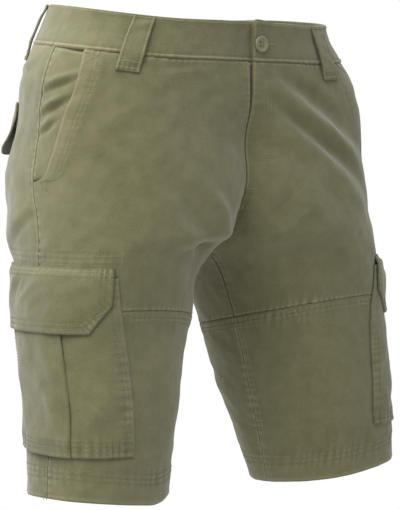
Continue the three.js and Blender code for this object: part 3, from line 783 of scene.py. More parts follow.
panel = {
    "step": 2.6,
    "thickness": 1.4,
    "tuck": 3,          # how far it runs up into the band
    "double": 0.8,      # share of a doubled edge's lift that leaves the wear and painted shade alone
}
frontEdge = {"rows": (13, 17.5, 22), "raise": 0.45, "edge": (22.5, 24.5)}
flyStitch = {
    "z": np.array([-51, -107, -138, -152, -163, -171, -177, -180.0]),
    "across": np.array([24, 25, 27.5, 26, 21, 15, 8, 2.5]),
}
thighBand = {"depth": 12, "rows": (1.8, 6, 10.4), "raise": 0.5}
inseamBand = {"width": 8.6, "raise": 0.45}
hem = {"depth": 31, "rows": (20, 25, 30), "raise": 0.4, "inner": 1.5}
reinforcement = {"z": (-238, -243.5, -249), "from": -77, "to": 97}


def spread(start, stop, step):
    return np.linspace(start, stop, max(2, int(round(abs(stop - start) / step)) + 1))


# Column j of a panel lies at near * (1 - share) + far * share + offset, so that the columns by an
# edge keep their distance from it
def columnPlan(nearSteps, farSteps, width):
    middle = spread(0, 1, panel["step"] / (width - nearSteps[-1] - farSteps[-1]))[1:-1]
    share = np.concatenate([np.zeros(len(nearSteps)), middle, np.ones(len(farSteps))])
    offset = np.concatenate([nearSteps, mix(nearSteps[-1], -farSteps[-1], middle), -farSteps[::-1]])
    return share, offset


edgeSteps = np.array([0, 0.7, 1.5, 2.5, 4, 6.0])


def nearArc(face, side, z):
    if face == "front":
        return sideSeamArc(side, z) + mouthArc(z) + seams["gap"] / 2
    return sideSeamArc(side, z) - seams["gap"] / 2


def farArc(face, side, z):
    if face == "front":
        return riseArc(side, z)
    return ringValue("back", z) + seams["gap"] / 2


def panelArcs(face, side, plan):
    share, offset = plan
    sign = 1 if face == "front" else -1
    return lambda z: mix(nearArc(face, side, z), farArc(face, side, z), share) + sign * offset


# Lift where the cloth lies double: the front pocket's turned edge
def upperRaise(face, side, z, arc):
    if face == "back":
        return 0 * arc
    fromSide = np.abs(arc - nearArc(face, side, z))
    return frontEdge["raise"] * smoothstep(z, -180, -165) * (1 - smoothstep(fromSide, *frontEdge["edge"]))


def upperPanelLift(face, side, z, arc):
    fromSide = np.abs(arc - nearArc(face, side, z))
    fromRise = np.abs(farArc(face, side, z) - arc)
    fromWaist = bandBottomAt(side, z, arc) - z
    fromThigh = z - slopedHeight("thigh", side, z, arc)
    seed = side + (3 if face == "front" else 7)
    relief = roll(fromSide, 0.55, 0.8) + roll(fromWaist, 0.4, 0.8) + roll(fromThigh, 0.55, 0.9)
    relief += roll(fromRise, mix(0.35, 0.85, smoothstep(-z, 150, 185)), 0.9, 0.5)
    relief += upperRaise(face, side, z, arc)
    relief += pucker(fromThigh, arc, 0.34, 7, 7, seed)
    relief += pucker(fromWaist, arc, 0.16, 9, 5, seed + 1)
    if face == "front":
        belowMouth = smoothstep(-z, 165, 180)
        relief += grooves(fromSide, frontEdge["rows"]) * (1 - belowMouth)
        relief += pucker(fromSide - 17, z, 0.12, 6, 8, seed + 2) * (1 - belowMouth)
        relief += pucker(fromSide, z, 0.26, 8, 5, seed + 2) * belowMouth
        belowFly = smoothstep(-z, 170, 185)
        relief += grooves(fromRise, (2.2, 7.5), 0.3) * belowFly
        relief += pucker(fromRise - 4, z, 0.32, 7, 7, seed + 4) * (0.4 + 0.6 * belowFly)
        if side > 0:
            across = np.interp(z, flyStitch["z"][::-1], flyStitch["across"][::-1])
            onFly = smoothstep(z, -176, -160)
            relief += grooves(fromRise - across, (-3.5, 0), 0.4) * onFly
            relief += pucker(fromRise - across, z, 0.13, 9, 6, seed + 5) * onFly
    else:
        relief += grooves(fromSide, (6,), 0.25)
        relief += pucker(fromSide - 3, z, 0.26, 8, 6, seed + 3)
        relief += grooves(fromRise, (2.2, 7.5), 0.3) + pucker(fromRise - 4, z, 0.28, 8, 7, seed + 4)
    start, end = reinforcement["from"], reinforcement["to"]
    onRows = smoothstep(arc, start - 4, start) * (1 - smoothstep(arc, end, end + 2))
    rows = -np.array(reinforcement["z"])
    relief += grooves(-z, rows, 0.36) * onRows
    relief += pucker(-z - rows[1], arc, 0.17, 8, 8, seed + 6) * onRows
    return np.maximum(relief, -1.5)


def makeUpperPanel(face, sideName, side):
    if face == "front":
        nearSteps = np.concatenate([edgeSteps, spread(8, 25, 1.15)])
        farSteps = np.append(edgeSteps, spread(7.5, 31, 1.6) if side > 0 else 9)
    else:
        nearSteps = np.append(edgeSteps, 8.5)
        farSteps = np.append(edgeSteps, 9)
    plan = columnPlan(nearSteps, farSteps, 235)
    arcsAt = panelArcs(face, side, plan)
    top = np.full(len(plan[0]), -48.0)
    bottom = np.full(len(plan[0]), seams["thighHeight"])
    for _ in range(6):
        top = bandBottomAt(side, top, arcsAt(top)) - seams["gap"]
        bottom = slopedHeight("thigh", side, bottom, arcsAt(bottom)) + seams["gap"] / 2
    toHip = spread(0, 1, 2.8 / 115)
    toCrotch = 1 - (1 - spread(0, 1, 1 / 22)) ** 1.5
    rowsBand = spread(234, 252, 1.1)
    fromMiddle = np.abs(farArc(face, side, top) - arcsAt(top))
    tuck = mix(0.1, panel["tuck"], smoothstep(fromMiddle, 15, 40))      # none where the ends lap
    z = [top + tuck] + [top - step for step in edgeSteps]
    hip, crotch = seams["hipHeight"], seams["crotchHeight"]
    z += [mix(top - edgeSteps[-1], hip, t) for t in toHip[1:]]
    z += [np.full_like(top, mix(hip, crotch, t)) for t in toCrotch[1:]]
    z += [np.full_like(top, -level) for level in rowsBand[1:]]
    z += [mix(-252.0, bottom + edgeSteps[-1], t) for t in spread(0, 1, 2.6 / 55)[1:-1]]
    z += [bottom + step for step in edgeSteps[::-1]]
    z = np.array(z)
    arc = arcsAt(z)
    relief = upperPanelLift(face, side, z, arc)
    outer = panelPoint(side, z, arc, relief)
    inner = panelPoint(side, z, arc, relief * 0.4 - panel["thickness"])
    rows = upperStitches(face, side)
    sewing = relief - panel["double"] * upperRaise(face, side, z, arc)
    sewnPiece(f"{face}_upper_{sideName}", outer, inner, np.stack([arc, z], -1), sewing, rows)


# Lift where the cloth lies double: the felled seams and the hem
def lowerRaise(face, side, z, arc):
    fromThigh = slopedHeight("thigh", side, z, arc) - z
    fromHem = z - slopedHeight("hem", side, z, arc)
    clearOfPocket = smoothstep(np.abs(arc - sideSeamArc(side, z)), 94, 104)
    lift = thighBand["raise"] * (1 - smoothstep(fromThigh, 11.2, 13)) * clearOfPocket
    lift += hem["raise"] * (1 - smoothstep(fromHem, hem["depth"] - 0.6, hem["depth"] + 0.8))
    if face == "front":
        fromInseam = np.abs(farArc(face, side, z) - arc)
        lift += inseamBand["raise"] * (1 - smoothstep(fromInseam, inseamBand["width"], 10))
    return lift


def lowerPanelLift(face, side, z, arc):
    fromSide = np.abs(arc - nearArc(face, side, z))
    fromInseam = np.abs(farArc(face, side, z) - arc)
    fromThigh = slopedHeight("thigh", side, z, arc) - z
    fromHem = z - slopedHeight("hem", side, z, arc)
    seed = side + (13 if face == "front" else 17)
    clearOfPocket = smoothstep(np.abs(arc - sideSeamArc(side, z)), 94, 104)
    relief = roll(fromSide, 0.55, 0.8) + roll(fromInseam, 0.35, 0.8, 0.5) + roll(fromThigh, 0.5, 0.8)
    relief += roll(fromHem, 0.5)
    relief += lowerRaise(face, side, z, arc)
    relief += grooves(fromThigh, thighBand["rows"], 0.42) * clearOfPocket
    relief += pucker(fromThigh - 6, arc, 0.3, 6.5, 8, seed) * clearOfPocket
    relief += grooves(fromHem, hem["rows"], 0.36) + pucker(fromHem - 25, arc, 0.22, 8, 9, seed + 1)
    relief += pucker(fromSide, z, 0.26, 7, 7, seed + 2) + pucker(fromInseam, z, 0.28, 8, 8, seed + 3)
    relief += grooves(fromInseam if face == "front" else fromSide, (2.2, 7.5), 0.3)
    return np.maximum(relief, -1.5)


def makeLowerPanel(face, sideName, side):
    steps = np.append(edgeSteps, 8.5)
    plan = columnPlan(steps, steps, 225 if face == "front" else 240)
    arcsAt = panelArcs(face, side, plan)
    top = np.full(len(plan[0]), seams["thighHeight"])
    bottom = np.full(len(plan[0]), seams["hemHeight"])
    for _ in range(6):
        top = slopedHeight("thigh", side, top, arcsAt(top)) - seams["gap"] / 2
        bottom = slopedHeight("hem", side, bottom, arcsAt(bottom))
    z = [top - step for step in spread(0, 14, 0.95)]
    z += [mix(top - 14, bottom + 34, t) for t in spread(0, 1, 2.6 / 125)[1:]]
    z += [bottom + step for step in spread(33, 17, 1)]
    z += [bottom + step for step in spread(15, 3, 2.4)]
    z += [bottom + step for step in (1.6, 0.7, 0)]
    z = np.array(z)
    arc = arcsAt(z)
    relief = lowerPanelLift(face, side, z, arc)
    outer = panelPoint(side, z, arc, relief)
    inHem = 1 - smoothstep(z - bottom, 26, 28)
    inner = panelPoint(side, z, arc, relief * 0.3 - panel["thickness"] - hem["inner"] * inHem)
    rows = lowerStitches(face, side)
    sewing = relief - panel["double"] * lowerRaise(face, side, z, arc)
    sewnPiece(f"{face}_lower_{sideName}", outer, inner, np.stack([arc, z], -1), sewing, rows)


sides = (("right", -1), ("left", 1))


# Rows of stitches on a panel, by place in millimetres
def panelRow(lift, side, z, arc):
    z, arc = np.broadcast_arrays(np.asarray(z, float), np.asarray(arc, float))
    relief = lift(side, z, arc)
    path = clothPoint(side, z, arc, relief)
    return path, clothPoint(side, z, arc, relief + 1) - path


def settle(start, nextValue, steps=6):
    value = start
    for _ in range(steps):
        value = nextValue(value)
    return value


def upperStitches(face, side):
    def sew(z, arc):
        return panelRow(lambda side, z, arc: upperPanelLift(face, side, z, arc), side, z, arc)

    rows = []
    if face == "front":
        z = spread(-43, -178, 1.5)
        for away in frontEdge["rows"]:
            level = z[z > -185 + 0.35 * away]
            rows.append(sew(level, sideSeamArc(side, level) + mouthArc(level) + away))
        arc = spread(2, 30, 1.5)
        for drop in (0, 3.5):
            rows.append(sew(-171 - drop - 0.42 * arc, sideSeamArc(side, -175) + arc))
        z = spread(-183, -219, 1.5)
        for away in (2.2, 7.5):
            rows.append(sew(z, riseArc(side, z) - away))
        z = spread(-50, -178, 1.5)
        rows.append(sew(z, riseArc(side, z) - 1.7))
        if side > 0:
            across = np.interp(z, flyStitch["z"][::-1], flyStitch["across"][::-1])
            for away in (0, -3.5):
                rows.append(sew(z, riseArc(side, z) - np.maximum(across + away, 2)))
            middle = riseArc(side, -178)
            rows += barOn(sew, (-178, middle - 12), (-178, middle - 3))
        seam = sideSeamArc(side, -50)
        rows += barOn(sew, (-43, seam + 41), (-43, seam + 63))
        rows += barOn(sew, (-55, seam + 42), (-44, seam + 58))
        seam = sideSeamArc(side, -172)
        rows += barOn(sew, (-171, seam + 14), (-179, seam + 24))
        end = sideSeamArc(side, -243) + reinforcement["to"]
        rows += barOn(sew, (-237, end), (-250, end))
    else:
        z = spread(-38, -300, 1.5)
        rows.append(sew(z, sideSeamArc(side, z) - 6))
        z = spread(-34, -219, 1.5)
        for away in (2.2, 7.5):
            rows.append(sew(z, ringValue("back", z) + away))
    low = 6 if face == "front" else reinforcement["from"]
    high = reinforcement["to"] if face == "front" else -6
    arc = spread(low, high, 1.5)
    for level in reinforcement["z"]:
        rows.append(sew(np.full_like(arc, level), arc + sideSeamArc(side, level)))
    return rows


def lowerStitches(face, side):
    def sew(z, arc):
        return panelRow(lambda side, z, arc: lowerPanelLift(face, side, z, arc), side, z, arc)

    sign = 1 if face == "front" else -1
    share = spread(0.01, 0.99, 0.006)
    lines = [("thigh", -away, 95) for away in thighBand["rows"]]
    lines += [("hem", away, 0) for away in hem["rows"]]
    rows = []
    for seam, rise, start in lines:
        z = np.full_like(share, seams[seam + "Height"])
        for _ in range(6):
            arc = mix(nearArc(face, side, z) + sign * start, farArc(face, side, z), share)
            z = slopedHeight(seam, side, z, arc) + rise
        rows.append(sew(z, arc))
    for away in (2.2, 7.5):
        if face == "front":
            z = spread(-328, -452, 1.5)
            rows.append(sew(z, farArc(face, side, z) - away))
        else:
            z = spread(-437, -478, 1.5)
            rows.append(sew(z, nearArc(face, side, z) - away))
    return rows


for sideName, side in sides:
    for face in ("front", "back"):
        makeUpperPanel(face, sideName, side)
        makeLowerPanel(face, sideName, side)
print("panels ready")

# Front pocket facings: level with the side seam, then dipping under the slanted edge

facing = {"dip": 2.1, "underlap": 20}


def makeFacing(sideName, side):
    visible = spread(0, 1, 1 / 26)
    under = spread(0, facing["underlap"], 3)[1:]
    share = np.concatenate([visible, np.ones(len(under))])
    beyond = np.concatenate([np.zeros(len(visible)), under])
    dip = facing["dip"] * smoothstep(share, 0, 0.95)

    def arcsAt(z):
        seam = sideSeamArc(side, z)
        return mix(seam + seams["gap"] / 2, seam + mouthArc(z), share) + beyond

    top = settle(np.full(len(share), -48.0), lambda z: bandBottomAt(side, z, arcsAt(z)) - seams["gap"])
    z = [top + panel["tuck"]] + [mix(top, seams["hipHeight"], t) for t in spread(0, 0.985, 1 / 62)]
    z = np.array(z)
    arc = arcsAt(z)
    fromSide = arc - sideSeamArc(side, z)
    fromWaist = bandBottomAt(side, z, arc) - z
    sewing = roll(fromSide) + roll(fromWaist) + pucker(fromSide, z, 0.22, 8, 5, side + 21)
    relief = np.maximum(sewing + 0.3 * ripple(arc, z, 26, 31) * smoothstep(fromSide, 0, 10), -1.5)
    outer = panelPoint(side, z, arc, relief - dip)
    inner = panelPoint(side, z, arc, relief * 0.4 - dip - panel["thickness"])
    sewnPiece(f"pocket_facing_{sideName}", outer, inner, np.stack([arc, z], -1), sewing)


for sideName, side in sides:
    makeFacing(sideName, side)
print("facings ready")

# Waistband, one strip from its right end under the left one, round the back, to its left end

waistband = {
    "height": seams["bandHeight"],
    "lift": 0.8,
    "thickness": 3,
    "under": 27,        # right end, under the left one
    "over": 1,
    "depth": 3.6,
    "rampEnd": 0.06,
}


def waistbandSewing(turn, down):
    along = turn * halfGirth
    fromBottom = waistband["height"] - down
    fromEnd = (2 + waistband["over"] / halfGirth - turn) * halfGirth
    relief = roll(down, 0.6) + roll(fromBottom, 0.8, 1, 0.6) + roll(fromEnd, 0.8, 1.4)
    return relief + grooves(fromBottom, (4.4,), 0.4, 0.8) + pucker(fromBottom, along, 0.22, 9, 6, 5)


def waistbandLift(turn, down):
    turn, down = np.broadcast_arrays(np.asarray(turn, float), np.asarray(down, float))
    sunk = waistband["depth"] * (1 - smoothstep(turn, 0.006, waistband["rampEnd"]))
    along = turn * halfGirth
    soft = 0.28 * ripple(along, down, 44, 41) + 0.12 * ripple(along, down, 15, 43)
    return waistband["lift"] - sunk + soft + waistbandSewing(turn, down)


def makeWaistband():
    under = waistband["under"] / halfGirth
    over = 2 + waistband["over"] / halfGirth
    turn = np.concatenate([
        spread(-under, 0, 4 / halfGirth)[:-1], spread(0, 2, 2.2 / halfGirth),
        over - np.array([1.2, 0.5, 0]) * 0.9 / halfGirth,
    ])
    turn = np.unique(np.round(turn, 6))
    down = np.concatenate([
        [0, 0.6, 1.3, 2.2, 3.5], spread(5.5, 34, 2.2), [35, 35.8, 36.5, 37.2, 37.9, 38.6, 39.3, 40],
    ])
    top = girthTop(turn)
    lapRise = 2.6 * smoothstep(turn, 1.93, 1.985) * (1 - smoothstep(turn, over - 0.008, over + 0.002))
    lapRise -= 2.2 * smoothstep(turn, over - 0.012, over)
    z = top[None, :] - down[:, None] + lapRise[None, :] * (1 - down[:, None] / 40) ** 2
    lift = waistbandLift(turn[None, :], down[:, None])
    sewing = waistbandSewing(turn[None, :], down[:, None])
    outer = girthPoint(turn[None, :], z, lift)
    inner = girthPoint(turn[None, :], z, lift - 0.7 * sewing - waistband["thickness"])
    uv = np.stack(np.broadcast_arrays(turn[None, :] * halfGirth, -down[:, None]), -1)
    rows = []
    turns = spread(0.004, over - 0.003, 1.5 / halfGirth)
    for drop in (2.2, waistband["height"] - 4.4):
        rows.append(rowOn(girthPoint, waistbandLift(turns, drop), turns, girthTop(turns) - drop))
    drops = spread(3, 35, 1.5)
    ends = np.full_like(drops, over - 3.6 / halfGirth)
    rows.append(rowOn(girthPoint, waistbandLift(ends, drops), ends, girthTop(ends) - drops))
    sewnPiece("waistband", outer, inner, uv, sewing, rows + buttonholeRows())


# Buttonhole behind the button, worked in thread round a slit
buttonPlace = {"fromMiddle": 10, "below": 22, "gap": 0.4}
buttonhole = {"from": 15, "to": 31, "half": 1.5}


def buttonholeRows():
    rows = []
    along = spread(buttonhole["from"], buttonhole["to"], 0.55)
    z = seams["waistFront"] - buttonPlace["below"]
    for k in along:
        across = np.array([-buttonhole["half"], 0, buttonhole["half"]])
        turn = np.full(3, 2 - k / halfGirth)
        rows.append(rowOn(girthPoint, waistbandLift(turn, buttonPlace["below"]) + 0.1, turn, z + across))
    return rows


makeWaistband()
print("waistband ready")

# Zip tape behind the fly, and the closed coil's teeth down its middle

zipTape = {
    "top": -49.5,
    "bottom": -166,
    "edges": (14, 0, -9),       # right edge, middle of the front, left edge
    "lift": -2.6,
    "thickness": 1,
    "teeth": 1.2,
}


def makeZip():
    right, middle, left = zipTape["edges"]
    edges = np.concatenate([spread(right, middle, 1.5)[:-1], spread(middle, left, 1.5)])
    z = spread(zipTape["top"], zipTape["bottom"], 2.5)[:, None] + 0 * edges[None, :]
    span = ringValue("front", z) - ringValue("back", z)
    turn = edges[None, :] / span
    relief = 0.12 * np.sin(z * 2) * np.exp(-((edges[None, :] - 3) / 3) ** 2)
    outer = girthPoint(turn, z, zipTape["lift"] + relief)
    inner = girthPoint(turn, z, zipTape["lift"] - zipTape["thickness"])
    uv = np.stack([edges[None, :] + 0 * z, z], -1)
    piece = clothPiece("tape_zip", outer, inner, uv, relief, tapeCloth)
    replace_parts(piece, "zip_tape")
    rows = []
    for level in spread(zipTape["top"] - 2, zipTape["bottom"] + 8, 1.4):
        span = ringValue("front", level) - ringValue("back", level)
        turn = (zipTape["teeth"] + np.array([-1.5, 0, 1.5])) / span
        rows.append(rowOn(girthPoint, zipTape["lift"] + 0.3, turn, np.full(3, level)))
    teeth = stitchMesh("zip_teeth", rows, tapeCloth)
    declareSheet(piece, outer)


makeZip()

# Cargo pockets: a sheet with a box pleat, whose centre line is followed as arc and lift

cargo = {
    "top": -262,
    "bottom": -434,
    "half": 92,
    "lift": 2.2,
    "edgeLift": 1.4,
    "edge": 9,
    "thickness": 1,
    "sideRows": (2.8, 9.5),
    "bottomRows": (2, 6.2, 10.4, 14.6),
}
pleat = {"center": -4, "half": 34, "tuck": 13, "step": 1.4, "crown": 0.8, "slant": 22, "stitch": 6}


def pleatPath():
    outer = pleat["half"]
    tuckArc = outer - pleat["tuck"]
    base = cargo["lift"]
    step = pleat["step"]
    half = [
        (cargo["half"], cargo["edgeLift"] - 0.4),
        (cargo["half"] - 0.8, cargo["edgeLift"] + 0.1),
        (cargo["half"] - 2, cargo["edgeLift"] + 0.3),
        (cargo["half"] - cargo["edge"], mix(cargo["edgeLift"], base, 0.8)),
        (cargo["half"] - 2.4 * cargo["edge"], base + 0.4),
        (outer + 22, base + 0.5),
        (outer + 8, base),
        (outer, base),
        (tuckArc, base),
        (tuckArc - 1, base + step / 2),
        (tuckArc, base + step),
        (outer - 1, base + step),
        (outer + 0.4, base + 1.5 * step),
        (outer - 0.6, base + 2 * step - 0.1),
        (outer - 2.5, base + 2 * step + 0.1),
        (outer - 7, base + 2 * step + 0.3),
        (tuckArc, base + 2 * step + 0.5),
        (tuckArc / 2, base + 2 * step + 0.8),
        (0, base + 2 * step + pleat["crown"] + 0.2),
    ]
    points = half + [(-arc, lift) for arc, lift in half[-2::-1]]
    rough = np.array(points)
    lengths = np.concatenate([[0], np.cumsum(np.hypot(*np.diff(rough, axis=0).T))])
    dense = np.unique(np.concatenate([lengths, spread(0, lengths[-1], 1.9)]))
    return np.stack([np.interp(dense, lengths, rough[:, k]) for k in (0, 1)], -1)


def pocketSewing(side, z, arc):
    fromFront = cargo["half"] - arc + 0 * z
    fromBack = cargo["half"] + arc + 0 * z
    fromBottom = z - cargo["bottom"] + 0 * arc
    seed = 51 + side
    relief = grooves(fromFront, cargo["sideRows"]) + grooves(fromBack, cargo["sideRows"])
    relief += roll(fromFront, 0.4) + roll(fromBack, 0.4)
    relief += grooves(fromBottom, cargo["bottomRows"]) + roll(fromBottom, 0.6)
    relief += pucker(fromFront - 6, z, 0.26, 7.5, 8, seed) + pucker(fromBack - 6, z, 0.26, 7.5, 8, seed + 1)
    return relief + pucker(fromBottom - 8, arc, 0.26, 8, 9, seed + 2)


pocketFolds = [
    (-1, -350, 20, 44, 9, 1.2, -62),
    (-1, -392, 12, 34, 7, 1.3, -66),
    (-1, -418, 6, 26, 6, 1.1, -10),
    (-1, -366, 74, 34, 12, 1.3, 56),
    (-1, -402, 70, 30, 9, -0.9, 40),
    (1, -352, 72, 36, 11, 1.4, -48),
    (1, -400, 60, 32, 9, 1.1, -40),
    (1, -380, -10, 44, 9, 1.2, 60),
]


# The pleat sits a little behind the pocket's middle, and its rear fold slants back upwards
def pleatShift(z, arc):
    shift = pleat["center"] * (1 - smoothstep(np.abs(arc), pleat["half"] + 4, cargo["half"]))
    onRear = smoothstep(-arc, 0, 20) * (1 - smoothstep(-arc, pleat["half"] + 8, cargo["half"] - 4))
    return shift - pleat["slant"] * onRear * smoothstep(z, -428, -325)


def pocketStitches(path, z, outer, inner):
    flat = np.flatnonzero(path[:, 0] < 45)[0]
    last = len(path) - 1
    top = np.flatnonzero(path[:, 1] > cargo["lift"] + 2 * pleat["step"] - 0.2)
    onTop = lambda arc: np.interp(-arc, -path[top, 0], top)
    rowAt = lambda level: np.interp(-level, -z, np.arange(len(z)))
    rows = []
    level = rowAt(spread(-316, cargo["bottom"] + 2, 1.5))
    for away in cargo["sideRows"]:
        column = np.interp(away, cargo["half"] - path[:flat, 0], np.arange(flat))
        rows += [lineOn(outer, inner, level, column), lineOn(outer, inner, level, last - column)]
    level = rowAt(spread(-318, cargo["bottom"] + 18, 1.5))
    for arc in (pleat["half"] - pleat["stitch"], pleat["stitch"] - pleat["half"]):
        rows.append(lineOn(outer, inner, level, onTop(arc)))
    for away in cargo["bottomRows"]:
        level = rowAt(cargo["bottom"] + away)
        for start, end in ((1, flat), (top[0], top[-1]), (last - flat, last - 1)):
            rows.append(lineOn(outer, inner, level, spread(start, end, 0.8)))
    return rows


def makeCargoPocket(sideName, side):
    path = pleatPath()
    ahead = np.gradient(path, axis=0)
    normal = np.stack([ahead[:, 1], -ahead[:, 0]], -1)
    normal /= np.linalg.norm(normal, axis=1, keepdims=True)
    bottom = cargo["bottom"]
    z = np.concatenate([
        spread(cargo["top"], bottom + 19, 2.6)[:-1], spread(bottom + 19, bottom + 1.4, 1.05),
        [bottom + 0.6, bottom],
    ])[:, None]
    level = path[None, :, 0] + pleatShift(z, path[None, :, 0])
    flat = np.where(normal[None, :, 1] > 0.9, 1, 0.3)
    sewing = pocketSewing(side, z, level) * flat
    soft = 0.4 * ripple(level, z, 44, 61 + side) * smoothstep(z - bottom, 8, 30)
    relief = sewing + (soft + foldGain["pocket"] * ridges(pocketFolds, side, z, level)) * flat
    onTop = smoothstep(path[None, :, 1], cargo["lift"] - 0.6, cargo["lift"])
    grids = []
    for offset in (0.5, -0.5):
        away = offset * cargo["thickness"]
        arc = sideSeamArc(side, z) + level + normal[None, :, 0] * away
        lift = path[None, :, 1] + normal[None, :, 1] * away + relief * (0.2 + 0.8 * onTop)
        pressed = cargo["edgeLift"] + 0.5 + 0.45 * path[None, :, 1]
        lift = mix(np.minimum(lift, pressed), lift, smoothstep(z - bottom, 0, 16))
        grids.append(panelPoint(side, z, arc, lift))
    outer, inner = grids
    uv = np.stack(np.broadcast_arrays(level, z), -1)
    rows = pocketStitches(path, z[:, 0], outer, inner)
    sewnPiece(f"cargo_pocket_{sideName}", outer, inner, uv, sewing, rows)


for sideName, side in sides:
    makeCargoPocket(sideName, side)
print("cargo pockets ready")

# Cargo flaps, chamfered at both lower corners, rising from their seam over the pocket's top

flap = {
    "top": -252,
    "bottom": -316,
    "half": 89,
    "chamferTop": -288,
    "chamfer": 20,
    "thickness": 1.6,       # both flaps, two layers
    "topRows": (1.8, 5.4, 9),
    "edgeRows": (2.2, 6.6, 11),
}
flapLift = {"seam": 1.7, "overPocket": 4.6, "overPleat": 8, "shoulder": 9, "pleatReach": 76}


# Half width of the flap at a drop, and how much of it counts as distance from the slanting edge
def flapHalf(down):
    start = flap["top"] - flap["chamferTop"]
    cut = flap["chamfer"] * np.clip((down - start) / (flap["chamferTop"] - flap["bottom"]), 0, 1)
    return flap["half"] - cut, 1 - 0.2 * smoothstep(cut, 0, 4)


# Shares of the half width from -1 to 1, by steps in from each edge
def fromBothEdges(steps, reach):
    return np.concatenate([steps - reach, [0], reach - steps[::-1]]) / reach


def flapStitches(across, drop, outer, inner):
    columnAt = lambda share: np.interp(share, across, np.arange(len(across)))
    rowAt = lambda down: np.interp(down, drop, np.arange(len(drop)))
    line = spread(-0.98, 0.98, 0.015)
    rows = [lineOn(outer, inner, rowAt(away), columnAt(line)) for away in flap["topRows"]]
    for away in flap["edgeRows"]:
        down = spread(3, drop[-1] - away, 1.5)
        half, slanting = flapHalf(down)
        edge = 1 - away / (half * slanting)
        rows += [lineOn(outer, inner, rowAt(down), columnAt(sign * edge)) for sign in (-1, 1)]
        rows.append(lineOn(outer, inner, rowAt(down[-1]), columnAt(spread(-edge[-1], edge[-1], 0.015))))
    return rows


def makeCargoFlap(sideName, side):
    across = fromBothEdges(np.concatenate([spread(0, 14, 1), spread(16.5, 92, 2.4)[:-1]]), 92)
    drop = np.concatenate([
        [0, 0.7], spread(1.6, 12, 0.95), spread(14, 48, 2.2), spread(49, 63.2, 0.95), [64],
    ])
    z = (flap["top"] - drop)[:, None]
    half, slanting = flapHalf(drop[:, None])
    fromSeam = across[None, :] * half
    fromEdge = np.minimum((1 - np.abs(across[None, :])) * half * slanting, z - flap["bottom"])
    fromTop = flap["top"] - z + 0 * fromSeam
    seed = 71 + side
    sewing = roll(fromTop) + roll(fromEdge)
    sewing += grooves(fromTop, flap["topRows"]) + grooves(fromEdge, flap["edgeRows"])
    sewing += pucker(fromTop - 5, fromSeam, 0.3, 7, 7, seed)
    sewing += pucker(fromEdge - 5, fromSeam + z, 0.2, 7, 8, seed + 1)
    soft = 0.35 * ripple(fromSeam, z, 36, 81 + side) * smoothstep(fromEdge, 2, 16)
    folds = foldGain["flap"] * ridges(flapFolds, side, z, fromSeam)
    relief = np.maximum(sewing + soft + folds, -1.6)
    rise = smoothstep(fromTop, 1, flapLift["shoulder"])
    fromPleat = np.abs(fromSeam - pleat["center"])
    reach = 1 - smoothstep(fromPleat, pleat["half"] + 8, flapLift["pleatReach"])
    lift = mix(flapLift["seam"], mix(flapLift["overPocket"], flapLift["overPleat"], reach), rise)
    lift = lift + 0.3 * smoothstep(fromTop, 50, 64)
    arc = sideSeamArc(side, flap["top"]) + fromSeam
    wall = flap["thickness"] / 2
    outer = panelPoint(side, z, arc, lift + wall + relief)
    inner = panelPoint(side, z, arc, lift - wall + 0.3 * relief)
    uv = np.stack(np.broadcast_arrays(fromSeam, z), -1)
    rows = flapStitches(across, drop, outer, inner)
    sewnPiece(f"cargo_flap_{sideName}", outer, inner, uv, sewing, rows)


flapFolds = [
    (-1, -270, -38, 13, 3, 1.1, 52),
    (-1, -272, -26, 12, 3.2, -0.8, 50),
    (-1, -278, -6, 24, 5, 1.1, 34),
    (-1, -288, 16, 26, 6, -0.6, 24),
    (-1, -276, 44, 22, 6, 0.6, 16),
    (1, -274, 40, 20, 4, 1, -40),
    (1, -284, 10, 26, 6, 0.8, 20),
]

for sideName, side in sides:
    makeCargoFlap(sideName, side)
print("cargo flaps ready")

# Back pocket flaps, which stand away from the cloth at their lower edge

backFlap = {
    "drop": 60,
    "depth": 49,
    "center": -131,
    "half": 66,
    "chamfer": 14,
    "flare": 7.5,
    "point": 7,
    "topRows": (2, 7),
    "edgeRows": (2.2, 7),
}


def backFlapDepth(across):
    return backFlap["depth"] + backFlap["point"] * (1 - across ** 2)


def backFlapStitches(across, down, outer, inner):
    columnAt = lambda share: np.interp(share, across, np.arange(len(across)))
    rowAt = lambda share: np.interp(share, down, np.arange(len(down)))
    rows = []
    for away in backFlap["topRows"]:
        line = spread(-0.96, 0.96, 0.02)
        rows.append(lineOn(outer, inner, rowAt(away / backFlapDepth(line)), columnAt(line)))
    for away in backFlap["edgeRows"]:
        edge = 1 - away / backFlap["half"]
        line = spread(-edge, edge, 0.02)
        rows.append(lineOn(outer, inner, rowAt(1 - away / backFlapDepth(line)), columnAt(line)))
        share = rowAt(spread(0.04, 1 - away / backFlap["depth"], 0.03))
        rows += [lineOn(outer, inner, share, columnAt(sign * edge)) for sign in (-1, 1)]
    return rows


